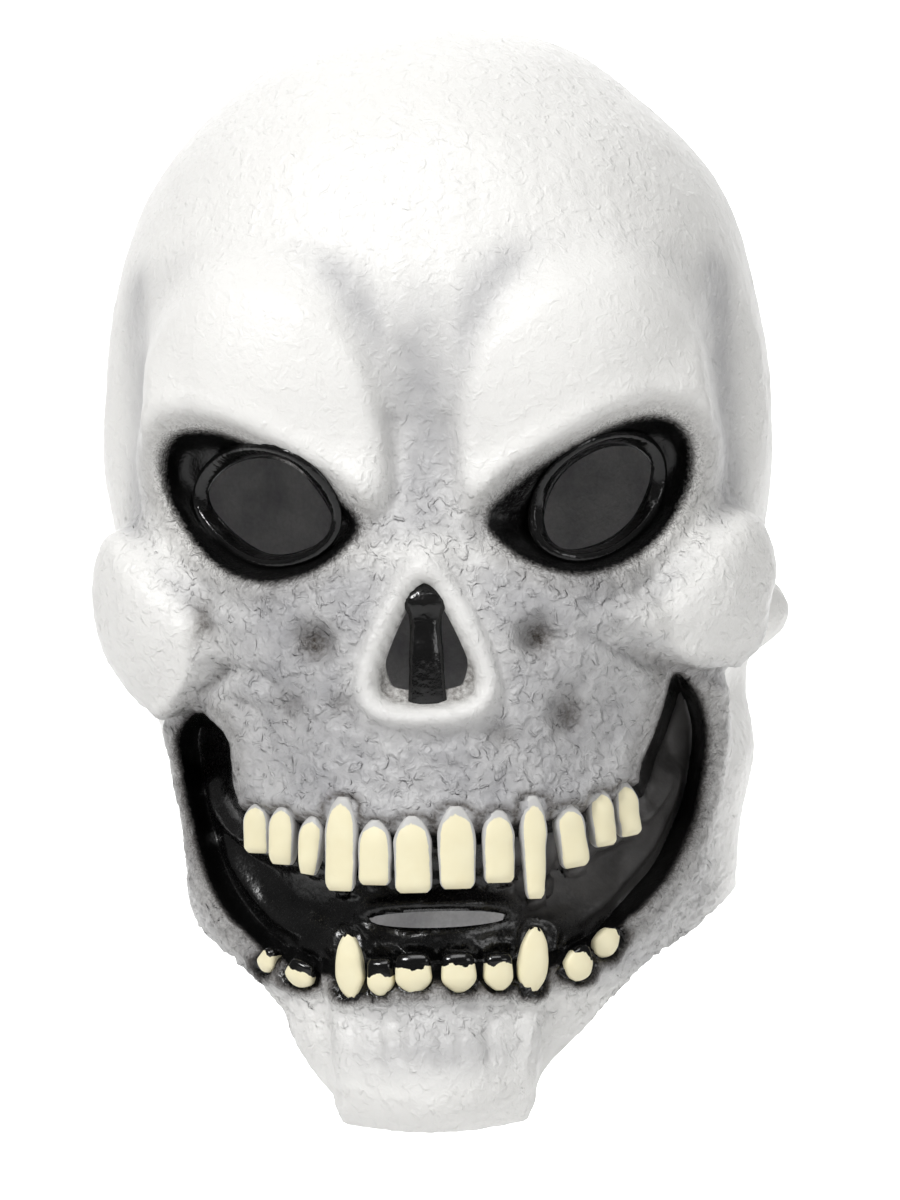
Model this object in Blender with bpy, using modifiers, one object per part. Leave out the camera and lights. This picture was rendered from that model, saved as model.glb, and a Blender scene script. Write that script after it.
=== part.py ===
"""Skull mask for the whole head: a hollow latex shell with a recessed mouth, eye beads, a nose bar and teeth.

Metres. The origin is the inside of the crown, where the mask sits on the head. +Z is up and the face looks to -Y.
"""

import math

import bmesh
import bpy
import numpy as np
from mathutils import Vector
from mathutils.bvhtree import BVHTree

mask_height = 0.2965  # outside of the crown to the bottom of the chin
mask_width = 0.184  # across the temples
mask_depth = 0.228  # brow to back of the head
wall = 0.002  # latex
gap = 0.0004  # between pieces
lining_gap = 0.0007
lining_wall = 0.0015
lining_flange = 0.0105  # how far the lining runs behind the shell, round the mouth
recess_depth = 0.009  # mouth lining behind the jaw wall
recess_slope = 0.010
recess_start = 0.001
socket_depth = 0.010
socket_slope = 0.010
socket_lead = 0.001  # how far outside its outline the socket starts to fall
brow_rim = (0.005, 0.005, 0.002)  # distance from the socket outline, width and height
nose_rim = (0.003, 0.004, 0.003)  # the same for the nose outline
mouth_rim = (0.004, 0.004, 0.002)  # and for the mouth outline
bead_radius = 0.0013
bead_offset = 0.0022  # from the edge of the eye hole to the middle of the bead
bead_sides = 6
bar_width = 0.0095
bar_thickness = 0.0025
bar_bulge = 0.003
bar_overlap = 0.004  # behind the shell at both ends
bar_cap = 0.011  # length at the top that stays behind the edge of the opening
bar_run = 0.006  # length over which it comes forward
tooth_thickness = 0.0042
root_share = 0.22  # where a tooth is seated, from its root end
slit_half_width = 0.018
slit_half_height = 0.0028
slit_down = mask_height * 0.8145  # from the crown to the middle of the slit

# One millimetre of the tables below, across, front to back and down. The tables follow the three sizes of the mask.
x_unit = mask_width / 184
y_unit = mask_depth / 228
z_unit = mask_height / 296.5

face_start = mask_depth * 0.1316  # the sculpted face begins this far in front of the origin
front_y = -mask_depth * 0.75  # in front of everything
eye_cut_y = -mask_depth * 0.197
nose_cut_y = -mask_depth * 0.307
mouth_cut_y = -mask_depth * 0.066
slit_cut_y = -mask_depth * 0.219
lining_back_y = -mask_depth * 0.088

front_columns = 19  # on each side, from the middle of the face to the ear
back_columns = 7  # on each side, from the ear to the middle of the back
back_spread = 1.35  # above 1 the columns lie closer together behind the ear

# Rings from the crown to the hem. "down" values are shares of the height, y values shares of the depth, "half" a
# share of half the width. "flat" is the share of the half width over which the ring stays at its front height,
# "rise" how it then climbs to the side, "square" the roundness of its front in plan (2 is an ellipse).
ring_columns = "front_down side_down back_down front_y side_y back_y half flat rise square".split()
ring_table = (
    (0.010, 0.009, 0.010, -0.096, 0.035, 0.175, 0.265, 0.00, 2.0, 2.00),
    (0.030, 0.030, 0.030, -0.202, 0.040, 0.280, 0.440, 0.00, 2.0, 2.05),
    (0.066, 0.066, 0.066, -0.289, 0.044, 0.370, 0.605, 0.00, 2.0, 2.10),
    (0.122, 0.122, 0.122, -0.355, 0.044, 0.438, 0.785, 0.00, 2.0, 2.20),
    (0.189, 0.189, 0.189, -0.399, 0.044, 0.487, 0.905, 0.00, 2.0, 2.25),
    (0.264, 0.264, 0.264, -0.425, 0.044, 0.513, 0.965, 0.00, 2.0, 2.30),
    (0.338, 0.338, 0.338, -0.434, 0.040, 0.522, 0.995, 0.00, 2.0, 2.30),
    (0.412, 0.405, 0.410, -0.430, 0.035, 0.518, 1.000, 0.00, 2.0, 2.25),
    (0.490, 0.473, 0.478, -0.443, 0.026, 0.500, 0.970, 0.00, 2.0, 2.15),
    (0.561, 0.540, 0.546, -0.465, 0.018, 0.469, 0.935, 0.00, 2.0, 2.05),
    (0.628, 0.600, 0.609, -0.474, 0.009, 0.434, 0.905, 0.00, 2.0, 1.95),
    (0.689, 0.655, 0.666, -0.465, 0.000, 0.408, 0.880, 0.00, 2.0, 1.90),
    (0.750, 0.695, 0.716, -0.460, -0.009, 0.390, 0.855, 0.00, 1.80, 1.85),
    (0.814, 0.725, 0.760, -0.452, -0.018, 0.382, 0.835, 0.08, 1.40, 1.80),
    (0.868, 0.750, 0.800, -0.462, -0.026, 0.382, 0.820, 0.18, 1.00, 1.75),
    (0.924, 0.777, 0.834, -0.474, -0.035, 0.386, 0.812, 0.27, 0.80, 1.70),
    (0.964, 0.793, 0.860, -0.472, -0.040, 0.390, 0.808, 0.31, 0.70, 1.68),
    (0.992, 0.805, 0.880, -0.452, -0.042, 0.392, 0.805, 0.33, 0.66, 1.66),
)

# Swellings and hollows, mirrored to both sides: centre and radii in table millimetres, height along the outward
# normal. "edge" above 1 makes the flank steeper.
bump_columns = "x y z reach_x reach_y reach_z height edge".split()
bump_table = {
    "brow_pad": (46, -88, -92, 44, 50, 40, 9.0, 1.0),
    "brow_corner": (70, -66, -112, 22, 34, 26, 6.0, 1.0),
    "between_brows": (0, -99, -116, 15, 40, 34, -4.0, 1.0),
    "temple": (82, -46, -106, 20, 34, 42, -6.0, 1.0),
    "cheekbone": (78, -58, -159, 26, 40, 31, 13.0, 1.7),
    "cheek_front": (44, -92, -166, 30, 30, 22, 3.0, 1.0),
    "cheek_hollow": (68, -70, -196, 18, 34, 16, -5.0, 1.0),
    "under_cheek": (86, -20, -186, 18, 34, 18, -6.0, 1.0),
    "ear": (92, 6, -164, 18, 22, 15, 11.0, 1.5),
    "muzzle": (18, -105, -212, 42, 40, 24, 4.0, 1.0),
    "pit_by_nose": (29, -104, -168, 8, 20, 8, -4.5, 1.3),
    "pit_on_cheek": (60, -86, -162, 5, 14, 8, -3.0, 1.3),
    "pit_by_teeth": (38, -100, -188, 7, 20, 10, -3.0, 1.0),
    "chin": (0, -106, -282, 36, 44, 26, 5.0, 1.3),
    "jaw_side": (64, -50, -240, 24, 44, 24, 3.0, 1.0),
}

# Outlines in the front view, table millimetres from the middle and from the outside of the crown.
socket_outline = (
    (14.0, -138.0), (23.0, -129.0), (34.0, -121.0), (47.0, -114.0), (58.0, -111.0), (66.0, -112.0), (70.0, -118.0),
    (70.0, -128.0), (66.0, -137.0), (60.0, -145.0), (52.0, -151.0), (41.0, -154.0), (31.0, -152.0), (22.0, -147.0),
)
left_eye_outline = (
    (-23.0, -141.0), (-24.0, -134.5), (-28.0, -128.0), (-32.5, -122.7), (-38.0, -120.0), (-45.5, -119.2),
    (-52.0, -120.8), (-57.0, -124.5), (-60.0, -129.0), (-57.5, -133.5), (-53.0, -138.5), (-47.0, -143.2),
    (-41.0, -146.0), (-33.0, -145.2),
)
right_eye_outline = (
    (29.5, -143.5), (30.7, -135.0), (33.0, -129.0), (37.5, -123.8), (44.0, -120.0), (49.0, -118.5), (55.0, -118.7),
    (58.8, -121.5), (59.8, -125.5), (57.8, -132.0), (54.0, -138.8), (49.0, -143.0), (43.5, -145.6), (36.5, -146.8),
)
nose_outline = (
    (0.0, -152.0), (3.8, -156.5), (7.3, -162.5), (10.5, -169.5), (13.0, -176.5), (13.5, -181.5), (10.5, -185.0),
    (0.0, -186.5),
)
mouth_outline = (
    (0.0, -218.5), (9.0, -219.0), (20.0, -217.0), (31.0, -216.0), (40.0, -213.5), (47.0, -211.5), (51.0, -208.0),
    (52.5, -201.0), (56.0, -194.0), (59.5, -186.0), (64.0, -182.5), (68.0, -186.0), (70.5, -195.0), (69.8, -204.0),
    (67.5, -213.0), (64.0, -222.5), (59.0, -232.0), (52.0, -240.5), (44.5, -248.0), (36.0, -253.0), (26.0, -256.0),
    (12.0, -257.0), (0.0, -257.0),
)

# Teeth: middle x, top and bottom in the front view, width, lean to the photo's right in degrees, and width at the
# tip as a share. The lower row stands up from its roots and the upper row hangs down.
tooth_columns = "x top bottom width lean tip".split()
upper_teeth = (
    (-45.3, -211.0, -223.4, 7.0, 4, 0.85),
    (-38.3, -211.0, -226.2, 7.0, 5, 0.85),
    (-30.7, -214.5, -228.5, 7.2, 9, 0.60),
    (-22.6, -210.1, -232.9, 8.2, 4, 0.85),
    (-14.0, -216.0, -231.5, 8.0, 3, 1.00),
    (-4.4, -216.0, -233.7, 9.3, 0, 1.00),
    (6.7, -214.0, -232.9, 9.3, 0, 0.98),
    (17.1, -215.0, -231.7, 7.7, 0, 0.98),
    (25.9, -212.0, -236.2, 7.2, 0, 0.68),
    (35.2, -213.5, -228.7, 7.6, -7, 0.90),
    (43.0, -211.0, -223.7, 6.6, -6, 0.88),
    (49.3, -209.5, -221.5, 6.2, -7, 0.90),
)
lower_teeth = (
    (-43.4, -248.0, -254.9, 5.6, 28, 0.55),
    (-34.6, -251.0, -258.3, 8.0, 22, 0.80),
    (-21.6, -244.4, -260.9, 7.4, -2, 0.72),
    (-13.6, -250.5, -260.3, 7.0, 0, 0.85),
    (-5.2, -249.5, -259.6, 9.2, 0, 0.92),
    (6.2, -249.5, -259.8, 8.8, 0, 0.92),
    (16.2, -250.0, -259.7, 7.6, 0, 0.88),
    (24.9, -243.8, -261.0, 7.6, 7, 0.75),
    (36.3, -249.5, -258.3, 7.6, 22, 0.85),
    (43.6, -245.5, -252.9, 6.8, 32, 0.90),
)

crown_z = wall  # outside of the crown

for old in list(bpy.data.objects):
    bpy.data.objects.remove(old, do_unlink=True)


def collection(name):
    made = bpy.data.collections.new(name)
    bpy.context.scene.collection.children.link(made)
    return made


mask_pieces = collection("skull_mask")
cutters = collection("cutters")


def material(name, colour, roughness):
    made = bpy.data.materials.new(name)
    made.use_nodes = True
    shader = made.node_tree.nodes["Principled BSDF"]
    shader.inputs["Base Color"].default_value = (*colour, 1.0)
    shader.inputs["Roughness"].default_value = roughness
    made.diffuse_color = (*colour, 1.0)
    return made


white_latex = material("white_latex", (0.78, 0.78, 0.76), 0.55)
black_lining = material("black_lining_paint", (0.012, 0.012, 0.012), 0.2)
black_bead = material("black_bead_paint", (0.01, 0.01, 0.01), 0.15)
cream_paint = material("cream_tooth_paint", (0.86, 0.80, 0.58), 0.4)


def add_object(name, vertices, faces, shade, home=None):
    mesh = bpy.data.meshes.new(name)
    mesh.from_pydata([tuple(float(c) for c in v) for v in vertices], [], faces)
    mesh.update()
    made = bpy.data.objects.new(name, mesh)
    (home or mask_pieces).objects.link(made)
    if shade:
        mesh.materials.append(shade)
    return made


def ease(value):
    t = np.clip(value, 0.0, 1.0)
    return t * t * (3 - 2 * t)


def ring_points(row, sweep):
    """One ring at the angles in sweep, which run from 0 at the face over pi/2 at the side to pi at the back."""
    ring = dict(zip(ring_columns, row))
    half = ring["half"] * mask_width / 2
    side_y = ring["side_y"] * mask_depth
    front_reach = side_y - ring["front_y"] * mask_depth
    back_reach = ring["back_y"] * mask_depth - side_y
    at_front = sweep <= math.pi / 2
    sine = np.clip(np.sin(sweep), 0.0, 1.0)
    cosine = np.abs(np.cos(sweep))
    power = np.where(at_front, 2.0 / ring["square"], 1.0)
    x = half * sine**power
    y = side_y + np.where(at_front, -front_reach, back_reach) * cosine**power
    share = np.clip((x / half - ring["flat"]) / (1 - ring["flat"]), 0.0, 1.0)
    down_front = ring["front_down"] + (ring["side_down"] - ring["front_down"]) * share ** ring["rise"]
    down_back = ring["side_down"] + (ring["back_down"] - ring["side_down"]) * cosine**2
    z = crown_z - mask_height * np.where(at_front, down_front, down_back)
    return np.stack([x, y, z], axis=1)


def smooth_form(sweep, rows):
    """The plain head form: rings of the table joined smoothly, sampled at the given row positions (0 is the crown)."""
    rings = [ring_points(row, sweep) for row in ring_table]
    crown = np.array([0.0, ring_table[0][4] * mask_depth, crown_z])
    first = np.repeat(crown[None, :], len(sweep), axis=0)
    before = 2 * first - rings[0]
    before[:, 2] = rings[0][:, 2]
    after = 2 * rings[-1] - rings[-2]
    knots = [before, first, *rings, after]
    out = []
    for row in rows:
        k = min(int(row), len(rings) - 1)
        t = row - k
        a, b, c, d = knots[k : k + 4]
        out.append(
            0.5 * (2 * b + (c - a) * t + (2 * a - 5 * b + 4 * c - d) * t * t + (3 * b - a - 3 * c + d) * t**3)
        )
    return np.array(out)


def outline_distance(points, outline, mirrored=False):
    """Distance of (x, z) points into an outline, in metres: above 0 inside it, below 0 outside it."""
    corners = np.array(outline) * [x_unit, z_unit]
    corners[:, 1] += crown_z
    if mirrored:
        inner = corners[:, 0] > 1e-6
        corners = np.concatenate([corners, (corners[inner] * [-1.0, 1.0])[::-1]])
    start = corners
    end = np.roll(corners, -1, axis=0)
    flat = points.reshape(-1, 2)
    nearest = np.full(len(flat), 1e9)
    inside = np.zeros(len(flat), dtype=bool)
    for p, q in zip(start, end):
        along = q - p
        t = np.clip(((flat - p) @ along) / (along @ along), 0.0, 1.0)
        nearest = np.minimum(nearest, np.linalg.norm(flat - p - t[:, None] * along, axis=1))
        crosses = (p[1] > flat[:, 1]) != (q[1] > flat[:, 1])
        if abs(along[1]) > 1e-12:
            inside ^= crosses & (flat[:, 0] < p[0] + (flat[:, 1] - p[1]) * along[0] / along[1])
    return np.where(inside, nearest, -nearest).reshape(points.shape[:-1])


def relief(points):
    """Height of the sculpted features over the plain form, along its normal, for points on the right half."""
    x, y, z = points[..., 0], points[..., 1], points[..., 2]
    height = np.zeros(x.shape)
    for values in bump_table.values():
        bump = dict(zip(bump_columns, values))
        near = ((x / x_unit - bump["x"]) / bump["reach_x"]) ** 2
        near = near + ((y / y_unit - bump["y"]) / bump["reach_y"]) ** 2
        near = near + (((z - crown_z) / z_unit - bump["z"]) / bump["reach_z"]) ** 2
        swell = np.clip(1 - near, 0.0, 1.0) ** 2
        height += bump["height"] * y_unit * np.clip(swell * bump["edge"], 0.0, 1.0)
    facing = ease((-y - face_start) / face_start)
    view = np.stack([x, z], axis=-1)
    into_socket = outline_distance(view, socket_outline)
    into_nose = outline_distance(view, nose_outline, mirrored=True)
    into_mouth = outline_distance(view, mouth_outline, mirrored=True)
    height -= facing * socket_depth * ease((into_socket + socket_lead) / socket_slope)
    for inside, rim in ((into_socket, brow_rim), (into_nose, nose_rim), (into_mouth, mouth_rim)):
        away, width, tall = rim
        height += facing * tall * np.exp(-(((inside + away) / width) ** 2))
    return height


def grid_normals(points):
    """Outward unit normals of a grid of points that runs down the rows and round the columns."""
    down = np.gradient(points, axis=0)
    around = np.gradient(points, axis=1)
    normal = np.cross(around, down)
    normal[0] = (0.0, 0.0, 1.0)
    length = np.linalg.norm(normal, axis=2, keepdims=True)
    normal = normal / np.maximum(length, 1e-12)
    outward = np.sum(normal[1:] * (points[1:] - points.mean(axis=(0, 1))), axis=2).mean() > 0
    normal[1:] *= 1.0 if outward else -1.0
    normal[:, 0, 0] = 0.0
    normal[:, -1, 0] = 0.0
    return normal / np.linalg.norm(normal, axis=2, keepdims=True)


def half_skin(sweep, rows):
    """Sculpted outer skin of the right half, with its normals."""
    plain = smooth_form(sweep, rows)
    points = plain + grid_normals(plain) * relief(plain)[..., None]
    points[:, 0, 0] = 0.0
    points[:, -1, 0] = 0.0
    return points, grid_normals(points)


def whole(half):
    """Both sides of a half grid, as one closed set of columns that starts at the middle of the face."""
    left = half[:, -2:0:-1] * np.array([-1.0, 1.0, 1.0])
    return np.concatenate([half, left], axis=1)


front_sweep = np.linspace(0.0, math.pi / 2, front_columns + 1)
back_sweep = math.pi / 2 * (1 + np.linspace(0.0, 1.0, back_columns + 1)[1:] ** back_spread)
sweep = np.concatenate([front_sweep, back_sweep])
# Row positions between the rings: wide steps at the crown, narrow ones at the eyes.
crown_rows = np.arange(0.0, 3.9, 1.0)
forehead_rows = np.arange(4.0, 7.9, 0.5)
eye_rows = np.linspace(8.0, 10.0, 7)
jaw_rows = np.arange(10.5, len(ring_table) + 0.01, 0.5)
rows = np.concatenate([crown_rows, forehead_rows, eye_rows, jaw_rows])
half_points, half_normals = half_skin(sweep, rows)
skin = whole(half_points)
skin_normals = whole(half_normals)
row_count, column_count = skin.shape[:2]


def grid_faces(keep=None):
    """Triangles of the grid as (row, column) corners, mirrored left to right; the crown is one point."""
    faces = []
    for r in range(row_count - 1):
        for c in range(column_count):
            n = (c + 1) % column_count
            if keep is not None and not keep[r, c]:
                continue
            if r == 0:
                faces.append(((0, 0), (1, c), (1, n)))
            elif c < column_count // 2:
                faces += [((r, c), (r + 1, c), (r + 1, n)), ((r, c), (r + 1, n), (r, n))]
            else:
                faces += [((r, c), (r + 1, c), (r, n)), ((r + 1, c), (r + 1, n), (r, n))]
    return faces


def sheet(name, points, faces, shade, thickness, home=None):
    """A closed sheet from grid faces: the points are its outer face, and it is thickened inwards."""
    used = sorted({corner for face in faces for corner in face})
    index = {corner: i for i, corner in enumerate(used)}
    made = add_object(name, [points[corner] for corner in used], [[index[c] for c in f] for f in faces], shade, home)
    solid = made.modifiers.new("wall", "SOLIDIFY")
    solid.thickness = thickness
    solid.offset = -1.0
    solid.use_even_offset = False
    return made


def prism(outline, near_y, far_y, mirrored):
    """Corners and faces of an outline of the front view drawn through from near_y to far_y."""
    corners = [(x * x_unit, z * z_unit + crown_z) for x, z in outline]
    if mirrored:
        corners = corners + [(-x, z) for x, z in reversed(corners) if x > 1e-6]
    count = len(corners)
    vertices = [(x, near_y, z) for x, z in corners] + [(x, far_y, z) for x, z in corners]
    faces = [list(range(count)), list(range(2 * count - 1, count - 1, -1))]
    faces += [[i, count + i, count + (i + 1) % count, (i + 1) % count] for i in range(count)]
    return vertices, faces


def cutter(name, prisms):
    """One cutter object from prisms that stand clear of each other."""
    vertices = []
    faces = []
    for corners, sides in prisms:
        faces += [[len(vertices) + i for i in side] for side in sides]
        vertices += corners
    made = add_object(name, vertices, faces, None, cutters)
    made.hide_render = True
    made.display_type = "WIRE"
    shape = bmesh.new()
    shape.from_mesh(made.data)
    bmesh.ops.recalc_face_normals(shape, faces=shape.faces)
    shape.to_mesh(made.data)
    shape.free()
    return made


def cut(target, tool):
    step = target.modifiers.new("cut_" + tool.name, "BOOLEAN")
    step.operation = "DIFFERENCE"
    step.solver = "EXACT"
    step.object = tool


shell_faces = grid_faces()
shell = sheet("skull_shell", skin, shell_faces, white_latex, wall)
corner_order = sorted({corner for face in shell_faces for corner in face})
for corner, normal in zip(corner_order, shell.data.vertex_normals):
    skin_normals[corner] = normal.vector
face_openings = [
    prism(left_eye_outline, front_y, eye_cut_y, False),
    prism(right_eye_outline, front_y, eye_cut_y, False),
    prism(nose_outline, front_y, nose_cut_y, True),
    prism(mouth_outline, front_y, mouth_cut_y, True),
]
cut(shell, cutter("face_openings", face_openings))

shell_corners = [v.co for v in shell.data.vertices]
outer_skin = BVHTree.FromPolygons(shell_corners, [tuple(f.vertices) for f in shell.data.polygons])


def skin_at(x, z):
    """Point and outward normal of the outer skin seen from the front at (x, z)."""
    point, normal, _, _ = outer_skin.ray_cast(Vector((x, front_y, z)), Vector((0.0, 1.0, 0.0)))
    if normal.y > 0:
        normal = -normal
    return point, normal


# Mouth lining: the same grid behind the wall, deeper inside the mouth outline.
view = skin[..., [0, 2]]
into_mouth = outline_distance(view, mouth_outline, mirrored=True)
facing = skin[..., 1] < lining_back_y
depth = wall + lining_gap + recess_depth * ease((into_mouth - recess_start) / recess_slope)
lining_points = skin - skin_normals * depth[..., None]
near = (into_mouth > -lining_flange) & facing
keep = np.zeros((row_count, column_count), dtype=bool)
for r in range(1, row_count - 1):
    for c in range(column_count):
        n = (c + 1) % column_count
        keep[r, c] = near[r, c] and near[r + 1, c] and near[r, n] and near[r + 1, n]
lining = sheet("mouth_lining", lining_points, grid_faces(keep), black_lining, lining_wall)
slit_outline = [
    (slit_half_width * math.cos(a) / x_unit, (slit_half_height * math.sin(a) - slit_down) / z_unit)
    for a in np.linspace(0.0, 2 * math.pi, 16, endpoint=False)
]
cut(lining, cutter("mouth_slit", [prism(slit_outline, front_y, slit_cut_y, False)]))

# Eye beads: a round ring just outside each eye hole, resting on the socket floor.
def bead(name, eye_outline):
    outline = np.array(eye_outline) * [x_unit, z_unit]
    middle = outline.mean(axis=0)
    path = []
    steps = 2
    for p, q in zip(outline, np.roll(outline, -1, axis=0)):
        for k in range(steps):
            spot = p + (q - p) * k / steps
            away = spot - middle
            spot = spot + away / np.linalg.norm(away) * bead_offset
            point, normal = skin_at(spot[0], spot[1] + crown_z)
            path.append([point + normal * (bead_radius + gap), normal])
    normals = np.array([tuple(entry[1]) for entry in path])
    centres = np.array([tuple(entry[0]) for entry in path])
    centres = (centres * 2 + np.roll(centres, 1, axis=0) + np.roll(centres, -1, axis=0)) / 4
    for _ in range(6):
        lift = np.zeros(len(centres))
        for i, centre in enumerate(centres):
            for spot in (centre, (centre + centres[i - 1]) / 2):
                hit, _, _, distance = outer_skin.find_nearest(Vector(spot))
                above = distance if (Vector(spot) - hit).dot(Vector(normals[i])) > 0 else -distance
                lift[i] = max(lift[i], bead_radius + gap - above)
        lift = np.maximum(lift, np.roll(lift, -1))
        centres = centres + normals * lift[:, None]
    count = len(centres)
    vertices = []
    for i in range(count):
        along = centres[(i + 1) % count] - centres[i - 1]
        along = along / np.linalg.norm(along)
        up = normals[i] - along * (normals[i] @ along)
        up = up / np.linalg.norm(up)
        out = np.cross(along, up)
        for k in range(bead_sides):
            a = 2 * math.pi * k / bead_sides
            vertices.append(centres[i] + bead_radius * (math.cos(a) * up + math.sin(a) * out))
    faces = []
    for i in range(count):
        j = (i + 1) % count
        for k in range(bead_sides):
            m = (k + 1) % bead_sides
            faces.append([i * bead_sides + k, i * bead_sides + m, j * bead_sides + m, j * bead_sides + k])
    made = add_object(name, vertices, faces, black_bead)
    shape = bmesh.new()
    shape.from_mesh(made.data)
    bmesh.ops.recalc_face_normals(shape, faces=shape.faces)
    shape.to_mesh(made.data)
    shape.free()


bead("eye_rim_left", left_eye_outline)
bead("eye_rim_right", right_eye_outline)


def loft(name, sections, shade):
    """A closed solid through sections of equal point counts."""
    count = len(sections[0])
    vertices = [p for s in sections for p in s]
    faces = [list(range(count)), [len(vertices) - 1 - i for i in range(count)]]
    for s in range(len(sections) - 1):
        for k in range(count):
            m = (k + 1) % count
            a = s * count
            b = a + count
            faces.append([a + k, b + k, b + m, a + m])
    made = add_object(name, vertices, faces, shade)
    shape = bmesh.new()
    shape.from_mesh(made.data)
    bmesh.ops.recalc_face_normals(shape, faces=shape.faces)
    shape.to_mesh(made.data)
    shape.free()
    return made


# Nose bar: behind the wall at both ends, standing forward in the opening.
nose_top = nose_outline[0][1] * z_unit + crown_z
nose_foot = nose_outline[-1][1] * z_unit + crown_z
# width share and depth in bar thicknesses round one section
bar_profile = ((-1.0, 0.6), (-0.75, 0.1), (0.0, -0.25), (0.75, 0.1), (1.0, 0.6), (0.8, 1.0), (-0.8, 1.0))
bar_top_share = 0.86
sections = []
for z in np.linspace(nose_top + bar_overlap, nose_foot - bar_overlap, 13):
    behind = max(skin_at(x, z)[0].y for x in (-bar_width / 2, 0.0, bar_width / 2)) + wall + 2 * gap
    free = float(ease((nose_top - bar_cap - z) / bar_run) * ease((z - nose_foot) / bar_run))
    y = behind - bar_bulge * free
    down = float(ease((nose_top - z) / (nose_top - nose_foot)))
    half = bar_width / 2 * (bar_top_share + (1 - bar_top_share) * down)
    sections.append([(a * half, y + (b + 0.25) * bar_thickness, z) for a, b in bar_profile])
loft("nose_bar", sections, black_bead)


# position along a tooth from root to tip, width share, front height share
tooth_profile = (
    (0.00, 0.45, 0.30), (0.07, 0.78, 0.62), (0.22, 0.97, 0.92), (0.50, 1.00, 1.00), (0.80, 0.98, 0.90),
    (0.95, 0.90, 0.72), (1.00, 0.72, 0.45),
)
tooth_ring = ((-1.0, 0.0), (-0.92, 0.62), (-0.5, 1.0), (0.5, 1.0), (0.92, 0.62), (1.0, 0.0))


def tooth(name, values, stands):
    """One tooth: a rounded peg lying on the jaw, its root end on the wall and its tip free over the mouth."""
    spec = dict(zip(tooth_columns, values))
    x = spec["x"] * x_unit
    top = spec["top"] * z_unit + crown_z
    foot = spec["bottom"] * z_unit + crown_z
    length = top - foot
    root_z = foot if stands > 0 else top
    seat_z = root_z + stands * root_share * length
    seat, normal = skin_at(x, seat_z)
    normal = Vector((normal.x, normal.y, 0.35 * normal.z)).normalized()
    across = Vector((0.0, 0.0, 1.0)).cross(-normal).normalized()
    if across.x < 0:
        across = -across
    up = across.cross(-normal).normalized()
    if up.z < 0:
        up = -up
    lean = math.radians(spec["lean"])
    side = across * math.cos(lean) - up * math.sin(lean)
    rise = up * math.cos(lean) + across * math.sin(lean)
    half = spec["width"] * x_unit / 2
    middle = seat + rise * stands * (0.5 - root_share) * length
    back = gap
    for a in np.linspace(-1.1, 1.1, 7):
        for b in np.linspace(-0.52, 0.52, 11):
            spot = middle + side * (a * half) + rise * (b * length)
            hit, _ = skin_at(spot.x, spot.z)
            back = max(back, (hit - spot).dot(normal) + gap)
    sections = []
    for t, wide, high in tooth_profile:
        wide = wide * (1 + (spec["tip"] - 1) * t)
        spot = middle + rise * (stands * (t - 0.5) * length) + normal * back
        thick = tooth_thickness * high
        sections.append([spot + side * (a * half * wide) + normal * (b * thick) for a, b in tooth_ring])
    loft(name, sections, cream_paint)


for number, values in enumerate(upper_teeth, 1):
    tooth(f"upper_tooth_{number:02d}", values, -1)
for number, values in enumerate(lower_teeth, 1):
    tooth(f"lower_tooth_{number:02d}", values, 1)
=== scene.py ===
import math

import bmesh
import bpy
import numpy as np
from mathutils import Matrix, Vector
from mathutils.bvhtree import BVHTree


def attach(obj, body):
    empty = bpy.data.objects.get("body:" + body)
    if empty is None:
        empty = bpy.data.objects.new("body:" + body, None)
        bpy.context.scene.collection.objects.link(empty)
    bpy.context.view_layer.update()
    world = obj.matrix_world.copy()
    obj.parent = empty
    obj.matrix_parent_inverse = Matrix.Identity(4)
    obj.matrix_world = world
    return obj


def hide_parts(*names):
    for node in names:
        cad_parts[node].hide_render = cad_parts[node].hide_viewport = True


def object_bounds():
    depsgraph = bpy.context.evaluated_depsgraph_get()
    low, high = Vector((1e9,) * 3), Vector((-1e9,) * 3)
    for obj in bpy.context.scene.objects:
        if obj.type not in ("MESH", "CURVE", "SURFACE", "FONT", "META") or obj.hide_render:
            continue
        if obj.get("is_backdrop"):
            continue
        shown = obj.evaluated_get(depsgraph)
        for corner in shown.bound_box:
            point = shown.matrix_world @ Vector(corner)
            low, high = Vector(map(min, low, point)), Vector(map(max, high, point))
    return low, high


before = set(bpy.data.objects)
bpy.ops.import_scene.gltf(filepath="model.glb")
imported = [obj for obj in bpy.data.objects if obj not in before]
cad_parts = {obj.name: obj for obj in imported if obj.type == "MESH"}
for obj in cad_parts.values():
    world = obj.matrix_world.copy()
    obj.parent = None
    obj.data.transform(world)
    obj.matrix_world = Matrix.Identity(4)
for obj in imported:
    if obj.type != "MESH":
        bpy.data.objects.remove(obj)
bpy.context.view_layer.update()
mm = 0.001

# The head form, the same one that the solids are made from.
headForm = {
    "height": 0.2965,  # outside of the crown to the bottom of the chin
    "width": 0.184,
    "depth": 0.228,
    "wall": 0.002,  # latex
    "frontColumns": 104,  # on each side, from the middle of the face to the ear
    "backColumns": 38,
    "crownRows": 62,
    "faceRows": 164,
}
crownZ = headForm["wall"]

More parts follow.
